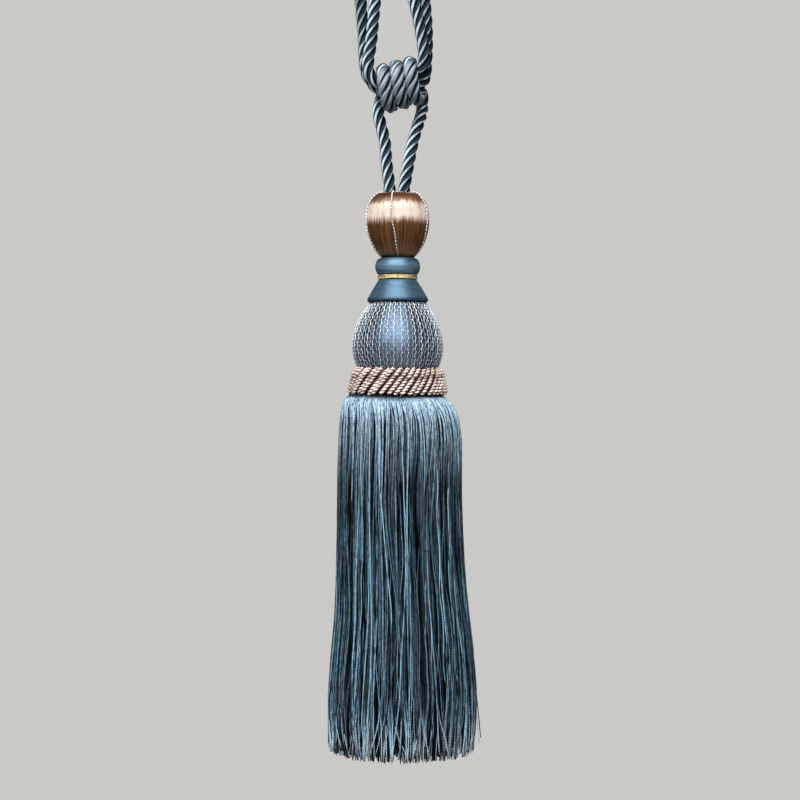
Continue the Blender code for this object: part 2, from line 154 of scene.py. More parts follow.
def smooth_outline(outline: tuple, step: float) -> Array:
    """Reads a smooth curve through an outline.

    Args:
        outline: (height, radius) of its points.
        step: The distance between two points of the result.

    Returns:
        (radius, height) of each point.
    """
    return smooth_curve([(radius, 0.0, height) for height, radius in outline], step)[:, [0, 2]]


def round_angles(count: int) -> Array:
    """Angles at even steps round a circle."""
    return FULL_TURN * np.arange(count) / count


def face_corners(grid: Array) -> Array:
    """Takes what the points of grids hold to the corners of their faces.

    Args:
        grid: Values of shape (..., rows, columns, values).

    Returns:
        The values of the faces' corners, four after each other for every face.
    """
    left, right = grid[..., :-1, :], grid[..., 1:, :]
    corners = left[..., :-1, :, :], right[..., :-1, :, :], right[..., 1:, :, :], left[..., 1:, :, :]
    return np.stack(corners, axis=-2).reshape(-1, grid.shape[-1])


def turned_point(radius: Any, angle: Any, height: Any) -> Array:
    """A point about the axis. An angle of 0 is the front, and it grows to the right.

    Args:
        radius: The distance from the axis.
        angle: Radians round the axis.
        height: The height.

    Returns:
        The point, or an array of points in its last axis.
    """
    radius, angle, height = np.broadcast_arrays(radius, angle, height)
    return np.stack([radius * np.sin(angle), -radius * np.cos(angle), height], axis=-1)


def sweep(lines: Array, angles: Any, reach: Any, up: tuple = (0.0, 1.0, 0.0)) -> Array:
    """Places sections square to lines, with no twist but that of their angles.

    Args:
        lines: Points of shape (lines, rings, 3).
        angles: Each corner's angle in its section, which fits (lines, rings, corners).
        reach: Each corner's distance from the line, which fits the same.
        up: A direction that no line starts along.

    Returns:
        The corners, of shape (lines, rings, corners, 3).
    """
    along = np.gradient(lines, axis=1)
    along /= np.linalg.norm(along, axis=2, keepdims=True)
    side = np.cross(along[:, 0], np.array(up))
    sides = []
    for i in range(lines.shape[1]):
        side = side - along[:, i] * (side * along[:, i]).sum(1, keepdims=True)
        side = side / np.linalg.norm(side, axis=1, keepdims=True)
        sides.append(side)
    sides = np.stack(sides, axis=1)
    across = np.cross(along, sides)
    cosine, sine = np.cos(angles)[..., None], np.sin(angles)[..., None]
    out = cosine * sides[:, :, None] + sine * across[:, :, None]
    return lines[:, :, None] + np.asarray(reach)[..., None] * out


@dataclass
class Piece:
    """What every piece of the tassel has: its name, its finish, what it stands for and how it is stored."""

    name: str
    slot: str
    finish: "Finish"
    replaces: tuple[str, ...] = ()

    def store(
        self, points: Array, grid: Array, ends: list, thread: Array, values: dict[str, Array]
    ) -> bpy.types.Object:
        """Makes the object, dresses it and fixes it to the frame.

        Args:
            points: The vertices.
            grid: Vertex numbers of shape (..., rows, columns), which close round the columns.
            ends: Vertex numbers of each face that closes an end.
            thread: The (u, v) of the grid's points in the map "thread", with the first column once more.
            values: Attribute names, and the number of every vertex.

        Returns:
            The new object.
        """
        closed = np.concatenate([grid, grid[..., :1]], axis=-1)[..., None]
        faces = face_corners(closed).reshape(-1, 4).tolist() + ends
        mapped = np.concatenate([face_corners(thread), np.zeros((sum(map(len, ends)), 2))])
        mesh = bpy.data.meshes.new(self.name)
        mesh.from_pydata(points.reshape(-1, 3).tolist(), [], faces)
        mesh.shade_smooth()
        layer = mesh.uv_layers.new(name="thread")
        layer.data.foreach_set("uv", np.ascontiguousarray(mapped, np.float32).ravel())
        for name, numbers in values.items():
            made = mesh.attributes.new(name, "FLOAT", "POINT")
            made.data.foreach_set("value", np.ascontiguousarray(numbers, np.float32).ravel())
        piece = bpy.data.objects.new(self.name, mesh)
        bpy.context.scene.collection.objects.link(piece)
        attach(piece, "root")
        if self.replaces:
            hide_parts(*self.replaces)
        self.finish.dress(piece)
        LOG.info("%s: %d faces", self.name, len(faces))
        return piece

    def tubes(self, corners: Array, values: dict[str, Array], turned: Any = 0.0) -> bpy.types.Object:
        """Closes swept sections into tubes.

        Args:
            corners: Points of shape (lines, rings, corners, 3).
            values: Attribute names, and numbers that fit (lines, rings, corners).
            turned: How many times each section has turned, which fits (lines, rings).

        Returns:
            The new object. Its map "thread" runs round the tube in U and along it, in metres, in V.
        """
        lines, rings, count = corners.shape[:3]
        number = np.arange(lines * rings * count).reshape(lines, rings, count)
        ends = number[:, 0, ::-1].tolist() + number[:, -1].tolist()
        reach = distances(corners.mean(axis=2))
        turned = np.broadcast_to(turned, reach.shape) + (np.arange(lines) * OUT_OF_STEP % 1)[:, None]
        around = np.arange(count + 1) / count + turned[..., None]
        thread = np.stack(np.broadcast_arrays(around, reach[..., None]), axis=-1)
        spread = {name: np.broadcast_to(value, number.shape) for name, value in values.items()}
        return self.store(corners, number, ends, thread, spread)

    def threads(
        self, lines: Array, reach: Any, sides: int, values: dict[str, Any], up: tuple = (0.0, 1.0, 0.0)
    ) -> bpy.types.Object:
        """Makes a round thread along each line.

        Args:
            lines: Points of shape (lines, rings, 3).
            reach: The thread's radius, which fits (lines, rings).
            sides: How many corners a section has.
            values: Attribute names, and numbers that fit (lines, rings).
            up: A direction that no line starts along.

        Returns:
            The new object.
        """
        reach = np.broadcast_to(np.asarray(reach)[..., None], (*lines.shape[:2], sides))
        corners = sweep(lines, round_angles(sides)[None, None], reach, up)
        return self.tubes(corners, {name: np.asarray(value)[..., None] for name, value in values.items()})

    def turned(
        self, profile: Array, ribs: int, seed: int, relief: Any = 0.0, even: Any = 0.0, ragged: float = 0.0,
        per_rib: int = 4,
    ) -> bpy.types.Object:
        """Turns a profile about the axis, with ribs of thread that run down it.

        Args:
            profile: (radius, height) from the top's inner end to the bottom's inner end.
            ribs: How many threads lie side by side round it.
            seed: For the small differences between the threads.
            relief: How deep the groove between two threads is, or a number for each point of the profile.
            even: How far the threads' tones are all at their lightest, which fits the same.
            ragged: How far a change of colour on the way down is out of step between the threads.
            per_rib: Points across one thread.

        Returns:
            The new object. Its map "thread" counts threads in U and runs along the profile, in metres, in V.
        """
        rng = np.random.default_rng(seed)
        rows, columns = len(profile), ribs * per_rib
        phase = np.arange(columns) % per_rib / per_rib
        crown = np.sqrt(1 - (2 * phase - 1) ** 2 * RIB_ROUND)
        proud = np.repeat(rng.uniform(-0.5, 0.5, ribs), per_rib)
        groove = np.broadcast_to(relief, rows)[:, None]
        height = profile[:, 1, None]
        radius = profile[:, 0, None] - groove * (1 - crown - RIB_PROUD * proud)
        points = turned_point(radius, round_angles(columns), height)
        number = np.arange(rows * columns).reshape(rows, columns)
        ends = [number[0, ::-1].tolist(), number[-1].tolist()]
        around = np.arange(columns + 1) / per_rib
        thread = np.stack(np.broadcast_arrays(around, distances(profile)[:, None]), axis=-1)
        even = np.broadcast_to(even, rows)[:, None]
        tone = even + (1 - even) * np.repeat(rng.uniform(0, 1, ribs), per_rib)
        along = (height.max() - height) / (height.max() - height.min())
        along = along + ragged * np.repeat(rng.normal(0, 1, ribs), per_rib)
        return self.store(points, number, ends, thread, {"tone": tone, "along": along})


@dataclass(frozen=True)
class ThreadFinish:
    """A twisted or wound thread. Fine filaments side by side spread a highlight across them.

    Rayon and silk have an index of about 1.46 to 1.55. The share of metal stands for the light that filaments
    pass on to each other in their own colour, which is what makes satin thread shine in its colour.
    """

    name: str
    light: str | tuple[tuple[float, str], ...]  # one colour, or (place, colour) of each stop on the way down
    deep: str  # the colour of painted shade in grooves and gaps, and of the darkest dye
    roughness: float
    shine: float  # the share of metal
    anisotropic: float = 0.0
    gloss: float = 0.5  # 0.5 is what the index alone gives
    grain: float = 0.0  # how strongly fine filaments stand out, in metres of relief
    slant: float = 0.0  # the filaments' twist in turns a metre, as spinners count it
    around: float = 1.0  # filaments for each unit of the map's U
    valley_shade: float = 0.0  # how much darker it is between two filaments or plies, as painted shade
    uneven: float = 0.22  # how far the dye's tone wanders
    # Patches of one tone in a metre, level and upright: usually 2.4 mm wide and 18 mm tall.
    patches: tuple[float, float] = (420.0, 55.0)
    wound_round: bool = False  # the filaments run round the piece, so that its highlight runs down it
    ior: float = 1.5

    def lit(self, tree: bpy.types.NodeTree) -> Any:
        """Finds the light colour.

        Args:
            tree: The material's node tree.

        Returns:
            One colour, or the output of a ramp on the way down.
        """
        if isinstance(self.light, str):
            return linear(self.light)
        way = add_node(tree, "Attribute", attribute_name="along")
        ramp = add_node(tree, "ValToRGB", {0: way.outputs["Fac"]})
        stops = ramp.color_ramp.elements
        for place, code in self.light[1:-1]:
            stops.new(place).color = linear(code)
        for stop, (place, code) in zip((stops[0], stops[len(stops) - 1]), (self.light[0], self.light[-1])):
            stop.position, stop.color = place, linear(code)
        return ramp.outputs[0]

    def build(self) -> bpy.types.Material:
        """Makes the material.

        Returns:
            The material.
        """
        material = bpy.data.materials.new(self.name)
        material.use_nodes = True
        tree = material.node_tree
        shader = tree.nodes["Principled BSDF"]
        shader.inputs["Roughness"].default_value = self.roughness
        shader.inputs["Metallic"].default_value = self.shine
        shader.inputs["IOR"].default_value = self.ior
        shader.inputs["Anisotropic"].default_value = self.anisotropic
        shader.inputs["Specular IOR Level"].default_value = self.gloss
        tone = add_node(tree, "Attribute", attribute_name="tone")
        place = add_node(tree, "TexCoord")
        # Dye takes unevenly, in patches. The noise hardly leaves 0.3 to 0.7.
        scale = (self.patches[0], self.patches[0], self.patches[1])
        stretched = add_node(tree, "Mapping", {"Vector": place.outputs["Object"], "Scale": scale})
        noise = add_node(tree, "TexNoise", {"Vector": stretched.outputs[0], "Scale": 1.0, "Detail": 2.0})
        wander = {0: noise.outputs[0], 1: 0.3, 2: 0.7, 3: 1 - self.uneven, 4: 1 + self.uneven}
        dyed = add_node(tree, "MapRange", wander)
        toned = {0: tone.outputs["Fac"], 1: dyed.outputs[0]}
        both = add_node(tree, "Math", toned, operation="MULTIPLY", use_clamp=True)
        colours = {0: both.outputs[0], 6: linear(self.deep), 7: self.lit(tree)}
        mix = add_node(tree, "Mix", colours, data_type="RGBA")
        tree.links.new(mix.outputs[2], shader.inputs["Base Color"])
        if self.anisotropic:
            tangent = add_node(tree, "Tangent", direction_type="UV_MAP", uv_map="thread")
            tree.links.new(tangent.outputs[0], shader.inputs["Tangent"])
            shader.inputs["Anisotropic Rotation"].default_value = 0.25 if self.wound_round else 0.0
        if self.grain:
            ridge = self.filaments(tree)
            bump = {"Strength": 1.0, "Distance": self.grain, "Height": ridge}
            tree.links.new(add_node(tree, "Bump", bump).outputs[0], shader.inputs["Normal"])
            # Painted shade between filaments or plies.
            if self.valley_shade:
                crest = add_node(tree, "MapRange", {0: ridge, 1: -1.0, 2: 1.0, 3: 1 - self.valley_shade, 4: 1.0})
                shaded = {0: both.outputs[0], 1: crest.outputs[0]}
                tree.links.new(add_node(tree, "Math", shaded, operation="MULTIPLY").outputs[0], mix.inputs[0])
        return material

    def filaments(self, tree: bpy.types.NodeTree) -> bpy.types.NodeSocket:
        """Draws the filaments that twist round the thread.

        Args:
            tree: The material's node tree.

        Returns:
            The output that is 1 on a filament's crest and -1 between two of them.
        """
        place = add_node(tree, "UVMap", uv_map="thread")
        parts = add_node(tree, "SeparateXYZ", {0: place.outputs[0]})
        across = add_node(tree, "Math", {0: parts.outputs[0], 1: self.around}, operation="MULTIPLY")
        slanted = {0: parts.outputs[1], 1: self.slant, 2: across.outputs[0]}
        turn = add_node(tree, "Math", slanted, operation="MULTIPLY_ADD")
        wave = add_node(tree, "Math", {0: turn.outputs[0], 1: FULL_TURN}, operation="MULTIPLY")
        return add_node(tree, "Math", {0: wave.outputs[0]}, operation="SINE").outputs[0]


class Finish(Enum):
    """The finishes of the tassel's own pieces."""

    # Laid satin rope of rayon: a painted highlight line along each strand, painted near black shade in its
    # grooves. Its filaments are finer than a pixel, so they are drawn as 56 round the rope, 0.35 mm apart.
    ROPE = ThreadFinish(
        "rayon_rope_laid", "#c9dde7", "#040f17", roughness=0.40, shine=0.06, anisotropic=0.5, gloss=0.0,
        grain=0.9e-5, around=56.0, uneven=0.1,
    )
    # Gold-bronze silk, wound tight and straight, with a painted highlight where it bends over the shoulder:
    # one broad cream band with ragged edges between brown ones.
    BRONZE = ThreadFinish(
        "silk_gold_bronze_wound",
        (
            (0.0, "#2c1504"), (0.14, "#563108"), (0.20, "#b4a396"), (0.27, "#c6b5a8"),
            (0.39, "#d8c8bc"), (0.50, "#6a4628"), (0.80, "#6e4b2f"), (1.0, "#a07c57"),
        ),
        "#2a180c", roughness=0.38, shine=0.15, anisotropic=0.80, gloss=0.25, uneven=0.25,
    )
    # Cream cord of two plies, sewn down over the bronze winding: a fine light line, with painted shade
    # between the plies.
    CREAM = ThreadFinish(
        "rayon_cord_cream_twisted", "#dedad3", "#5a4f47", roughness=0.5, shine=0.05, grain=3e-5, slant=480.0,
        valley_shade=0.6,
    )
    # Blue-grey silk, wound so fine that it looks like satin cloth, with one soft highlight down the front.
    # Its turns are drawn as streaks 0.7 mm apart, several times as far as the real ones, so that they show.
    # Painted shade darkens the bead's top, and a painted highlight lightens its middle.
    COLLAR = ThreadFinish(
        "silk_blue_grey_wound",
        (
            (0.0, "#2f4353"), (0.06, "#3d5465"), (0.16, "#67849a"), (0.36, "#6c899e"),
            (0.48, "#3f586a"), (1.0, "#3f586a"),
        ),
        "#22343f", roughness=0.54, shine=0.60, anisotropic=0.48, gloss=0.3, uneven=0.45,
        patches=(150.0, 1400.0), wound_round=True,
    )
    # Pale gold metallised thread, which glints where its twist turns to the light.
    GOLD = ThreadFinish(
        "metallised_thread_gold", "#c6bb8c", "#87754a", roughness=0.5, shine=0.4, grain=3e-5, slant=1500.0
    )
    # Blue rayon wound round the mould under the net. A highlight runs down it, and painted shade darkens
    # its top under the collar.
    BALL = ThreadFinish(
        "rayon_blue_wound",
        ((0.0, "#232f3b"), (0.25, "#3a495a"), (0.55, "#5a6f84"), (1.0, "#63798f")),
        "#0e1824", roughness=0.42, shine=0.85, anisotropic=0.70, uneven=0.4, patches=(700.0, 700.0),
        wound_round=True,
    )
    # Silvery-white thread of the net, with a painted highlight at its knots.
    NET = ThreadFinish("rayon_net_silver", "#e2ebf2", "#121e2a", roughness=0.4, shine=0.1, gloss=0.3)
    # Beige cord of two plies, with brown shadow between the plies.
    TRIM = ThreadFinish(
        "rayon_cord_beige_twisted", "#dac8bb", "#4a2c1f", roughness=0.36, shine=0.1, gloss=0.9
    )
    # The woven tape that the cords are sewn to, which shows as brown shadow between them.
    TAPE = ThreadFinish("cotton_tape_brown_woven", "#4a2c1f", "#2b1810", roughness=0.7, shine=0.0)
    # Cut rayon fringe: painted shadow under the braid at its roots, a sky blue painted highlight where it
    # bends over the shoulder, deep teal below, paler at its cut ends.
    FRINGE = ThreadFinish(
        "rayon_fringe_cut",
        (
            (0.0, "#05090c"), (0.004, "#344a5a"), (0.012, "#9fbdd2"), (0.05, "#b5d2e6"), (0.11, "#b0cee2"),
            (0.24, "#a0c3da"), (0.36, "#93bcd4"), (0.87, "#93bcd4"), (0.95, "#bcd9ea"), (1.0, "#cfe6f3"),
        ),
        "#050f17", roughness=0.36, shine=0.12, gloss=0.1, grain=2.5e-5, slant=700.0, valley_shade=0.45, uneven=0.6,
        patches=(900.0, 420.0),
    )

    def dress(self, piece: bpy.types.Object) -> None:
        """Gives the piece this finish, which is made once."""
        made = bpy.data.materials.get(self.value.name) or self.value.build()
        piece.data.materials.append(made)


@dataclass
class Rope(Piece):
    """A rope of four strands laid to the right, swept along its route with every strand in its surface.

    Where it is wound round the other ropes it lies pressed against its neighbours, wider than it is thick.
    """

    route: list = field(default_factory=list)
    wound: tuple[int, int] | None = None  # the route's points between which it is wound round the others
    wound_level: tuple[float, float] = (0.0, 0.0)  # the wraps' slope, and their middle's height at x = 0
    diameter: float = 0.0062
    strands: int = 4
    lay: float = 0.024  # the length of one turn of the strands where it hangs free
    wound_lay: float = 0.0200
    wound_width: float = 0.15  # how much wider it is there, as a share
    wound_ease: float = 0.004  # the length over which it goes from one to the other
    strand_middle: float = 0.0017  # from the rope's middle to a strand's
    strand_radius: float = 0.0014
    per_strand: int = 16
    ring_step: float = 0.0006
    # (place across the strand from its upper edge, tone) of the painted highlight and groove shade where it
    # hangs free, where it is wound, and of the thin painted highlight line that stays pale all round a wrap
    free_painted_light: tuple = (
        (0.0, 0.0), (0.08, 0.0), (0.14, 1.0), (0.31, 1.0), (0.40, 0.01), (0.50, 0.01), (0.62, 0.045),
        (0.74, 0.0), (1.0, 0.0),
    )
    wound_painted_light: tuple = (
        (0.0, 0.0), (0.06, 0.0), (0.11, 1.0), (0.18, 0.9), (0.26, 0.72), (0.64, 0.56), (0.74, 0.02),
        (1.0, 0.0),
    )
    wound_painted_edge: tuple = ((0.0, 0.0), (0.05, 0.0), (0.08, 0.9), (0.13, 0.9), (0.18, 0.0), (1.0, 0.0))
    # Painted shade: how much less pale a wrap is where it passes over the other ropes, and under them.
    wound_painted_shade: tuple[float, float] = (0.9, 0.45)
    wound_r: float = 0.0074  # how far over or under the wraps' middle the shade is full
    shade_power: float = 1.5  # how late the shade grows on the way there
    side_change: float = 2.5  # how soon the painted highlight changes sides, where a rising rope starts to fall

    def section(self) -> tuple[Array, Array]:
        """One section.

        Returns:
            The distance of each point from the rope's middle, and its place across its strand, from 0 to 1.
        """
        half = math.pi / self.strands
        off = (round_angles(self.strands * self.per_strand) + half) % (2 * half) - half
        reach = self.strand_middle * np.cos(off) + np.sqrt(
            self.strand_radius**2 - (self.strand_middle * np.sin(off)) ** 2
        )
        reach *= self.diameter / 2 / (self.strand_middle + self.strand_radius)
        return reach, off / (2 * half) + 0.5

    def pressed(self, line: Array) -> Array:
        """How far each ring is pressed against its neighbours.

        Args:
            line: The rope's middle.

        Returns:
            0 where it hangs free, and 1 where it is wound.
        """
        share = np.zeros(len(line))
        if self.wound:
            first, last = (
                np.linalg.norm(line - np.array(self.route[i]), axis=1).argmin() for i in self.wound
            )
            ring = np.arange(len(line))
            ease = self.wound_ease / self.ring_step
            share = np.clip(np.minimum(ring - first, last - ring) / ease + 0.5, 0, 1)
        return share * share * (3 - 2 * share)

    def tones(self, line: Array, across: Array, wound: Array) -> Array:
        """Paints a highlight line along each strand's upper edge, wider in the wraps, and shade in the
        grooves.

        Args:
            line: The rope's middle.
            across: Each corner's place across its strand.
            wound: How far each ring is in a wrap.

        Returns:
            Tones of shape (rings, corners).
        """
        along = np.gradient(line, axis=0)
        upright = (along[:, 2] / np.linalg.norm(along, axis=1))[:, None]
        rising = np.clip(upright * self.side_change, -1, 1) / 2 + 0.5
        bands = []
        for band in (self.free_painted_light, self.wound_painted_light, self.wound_painted_edge):
            place, tone = np.array(band).T
            down, up = np.interp(across, place, tone), np.interp(1 - across, place, tone)
            bands.append(down + (up - down) * rising)
        if not wound.any():
            return bands[0]
        over = line[:, 2] - np.polyval(self.wound_level, line[:, 0])
        off = np.clip(over / self.wound_r, -1, 1)[:, None]
        shade = np.where(off > 0, *self.wound_painted_shade) * np.abs(off) ** self.shade_power
        in_wrap = np.maximum(bands[1] * (1 - shade), bands[2])
        return bands[0] + (in_wrap - bands[0]) * wound[:, None]

    def build(self) -> bpy.types.Object:
        """Returns:
            The rope.
        """
        line = smooth_curve(self.route, self.ring_step)
        steps = np.linalg.norm(np.diff(line, axis=0), axis=1)
        wound = self.pressed(line)
        rate = 1 / (self.lay + (self.wound_lay - self.lay) * wound)
        turned = np.concatenate([[0], np.cumsum(steps * (rate[1:] + rate[:-1]) / 2)])
        count = self.strands * self.per_strand
        angles = FULL_TURN * (np.arange(count) / count + turned[:, None])
        section, across = self.section()
        corners = sweep(line[None], angles[None], np.broadcast_to(section, (1, len(line), count)))
        wider = self.wound_width * wound
        corners[..., 0] += (corners[..., 0] - line[None, :, None, 0]) * wider[None, :, None]
        piece = self.tubes(corners, {"tone": self.tones(line, across, wound)}, turned)
        return piece


@dataclass
class SlideKnot:
    """Both ropes: the embrace rope with its two ears, and the tassel's rope with three wraps round it."""

    # The wraps, from and to so many turns on from the first wrap's top.
    wrap_first: float = -0.12
    wrap_last: float = 2.55
    wrap_steps: int = 16  # points for each turn
    wrap_r: float = 0.0066  # of their rounded ends, over and under the embrace rope
    wrap_pitch: float = 0.00665
    wrap_start_x: float = -0.00725
    wrap_lean: float = 0.0008  # how far a wrap's foot lies to the right of its top
    wrap_bow: float = 0.0010  # how far its front lies to the left of both
    # The two embrace ropes in them, one above the other.
    core_half: float = 0.00325  # half the height between them
    core_tilt: float = math.radians(20)  # how far the upper one leans to the front
    core_z: float = -0.08466  # the height of their middle at x = 0
    core_slope: float = 0.272  # how steeply they rise to the right
    # The ears and the bights that close them.
    bight_r: float = 0.0124
    bight_z: float = -0.0093
    bight_steps: int = 8
    ear_left_x: float = -0.0149
    ear_right_x: float = 0.0098
    ear_turn: float = 0.0007  # how far a bight's ends lie off its middle

    # Routes in millimetres: (x, y, z).
    upper_left: tuple = (
        (0.7, -1.2, -81.4), (-5.0, -1.3, -83.0), (-9.1, -1.4, -83.6), (-12.6, -2.3, -81.7),
        (-14.4, -3.0, -78.3), (-14.7, -2.9, -73.0), (-13.8, -2.7, -67.0), (-13.0, -2.4, -61.0),
        (-12.1, -1.5, -51.0), (-11.3, 0.0, -42.0), (-11.1, 2.4, -34.0), (-11.9, 5.4, -26.0),
        (-13.1, 9.0, -18.0),
    )
    lower: tuple = (
        (-16.5, -9.0, -18.0), (-17.8, -5.4, -26.0), (-18.5, -2.4, -34.0), (-18.5, 0.0, -42.0),
        (-17.8, 1.7, -52.0), (-17.0, 2.8, -63.0), (-16.6, 3.3, -73.0), (-15.3, 3.8, -78.7),
        (-13.2, 4.5, -82.3), (-10.3, 5.4, -85.2), (-7.0, 3.9, -87.4), (-2.8, 1.2, -88.4),
        (1.2, 1.2, -87.4), (6.3, 1.2, -86.0), (11.6, 2.5, -83.4), (13.8, 4.3, -79.2),
        (14.2, 3.5, -73.5), (14.6, 3.3, -68.0), (14.7, 3.1, -62.0), (14.4, 2.6, -52.0),
        (13.6, 1.8, -42.0), (13.8, -0.8, -33.0), (13.2, -4.6, -25.0), (11.8, -8.8, -17.5),
    )
    upper_right: tuple = (
        (7.8, 8.8, -17.5), (6.4, 4.6, -25.0), (6.4, 0.8, -33.0), (8.0, -1.8, -42.0),
        (10.3, -2.6, -52.0), (12.1, -3.1, -62.0), (13.0, -3.3, -69.0), (12.9, -3.1, -73.5),
        (11.2, -2.4, -78.1), (6.0, -1.1, -79.9), (1.3, -1.4, -81.3),
    )
    leg_left: tuple = (
        (-3.8, 0.0, -143.0), (-3.9, 0.0, -138.0), (-4.5, 0.4, -132.0), (-5.7, 1.8, -122.0),
        (-6.6, 3.2, -112.0), (-8.6, 4.4, -103.5), (-9.7, 6.4, -96.6), (-9.1, 9.4, -92.3),
        (-8.2, 11.6, -88.0), (-7.3, 11.0, -83.4), (-7.1, 7.5, -79.8),
    )
    leg_right: tuple = (
        (11.5, 8.0, -87.3), (12.1, 11.0, -86.1), (12.5, 14.0, -87.3), (12.6, 15.2, -90.4),
        (12.4, 14.1, -94.5), (11.7, 11.1, -98.3), (10.4, 8.0, -102.5), (7.7, 4.6, -112.0),
        (5.7, 2.0, -122.0), (3.9, 0.5, -132.0), (3.1, 0.0, -138.0), (3.1, 0.0, -143.0),
    )

    def wrap_point(self, turn: float) -> tuple:
        """Finds the middle of the wrapping rope, which goes round two half circles and two straight sides.

        Args:
            turn: Turns on from the first wrap's top.

        Returns:
            The point.
        """
        quarter = math.pi * self.wrap_r / 2
        along = (turn % 1.0) * 4 * (quarter + self.core_half)
        if along < quarter:
            angle, up = along / self.wrap_r, self.core_half
        elif along < quarter + 2 * self.core_half:
            angle, up = math.pi / 2, self.core_half - (along - quarter)
        elif along < 3 * quarter + 2 * self.core_half:
            angle, up = (along - 2 * self.core_half) / self.wrap_r, -self.core_half
        elif along < 3 * quarter + 4 * self.core_half:
            angle, up = 3 * math.pi / 2, along - 3 * quarter - 3 * self.core_half
        else:
            angle, up = (along - 4 * self.core_half) / self.wrap_r, self.core_half
        rise = up + self.wrap_r * math.cos(angle)
        front = self.wrap_r * math.sin(angle)
        lean = self.wrap_lean * math.sin(math.pi * turn) ** 2 - self.wrap_bow * math.sin(2 * math.pi * turn)
        x = self.wrap_start_x + self.wrap_pitch * turn + lean
        sine, cosine = math.sin(self.core_tilt), math.cos(self.core_tilt)
        y = -rise * sine - front * cosine
        z = self.core_z + self.core_slope * x + rise * cosine - front * sine
        return x, y, z

    def bight(self, x: float, turn: float, start: int) -> list:
        """Lays a half circle where the hook would hold it.

        Args:
            x: Its middle.
            turn: How far its back end lies to the right of its middle.
            start: 1 to begin at the back, -1 at the front.

        Returns:
            The points.
        """
        points = []
        for i in range(self.bight_steps + 1):
            angle = math.pi * i / self.bight_steps
            side, up = start * math.cos(angle), math.sin(angle)
            points.append((x + turn * side, self.bight_r * side, self.bight_z + self.bight_r * up))
        return points

    def build(self) -> None:
        """Makes both ropes."""
        upper_left, lower, upper_right, leg_left, leg_right = (
            [tuple(c / 1000 for c in point) for point in table]
            for table in (self.upper_left, self.lower, self.upper_right, self.leg_left, self.leg_right)
        )
        left = self.bight(self.ear_left_x, self.ear_turn, 1)
        right = self.bight(self.ear_right_x, -self.ear_turn, -1)
        embrace = upper_left + left + lower + right + upper_right
        Rope("rope_embrace_laid", "rope_satin", Finish.ROPE, ("rope_embrace",), embrace).build()
        steps = round((self.wrap_last - self.wrap_first) * self.wrap_steps)
        turns = np.linspace(self.wrap_first, self.wrap_last, steps + 1)
        tassel = leg_left + [self.wrap_point(turn) for turn in turns] + leg_right
        Rope(
            "rope_tassel_laid", "rope_satin", Finish.ROPE, ("rope_tassel_loop",), tassel,
            wound=(len(leg_left), len(leg_left) + steps), wound_level=(self.core_slope, self.core_z),
        ).build()


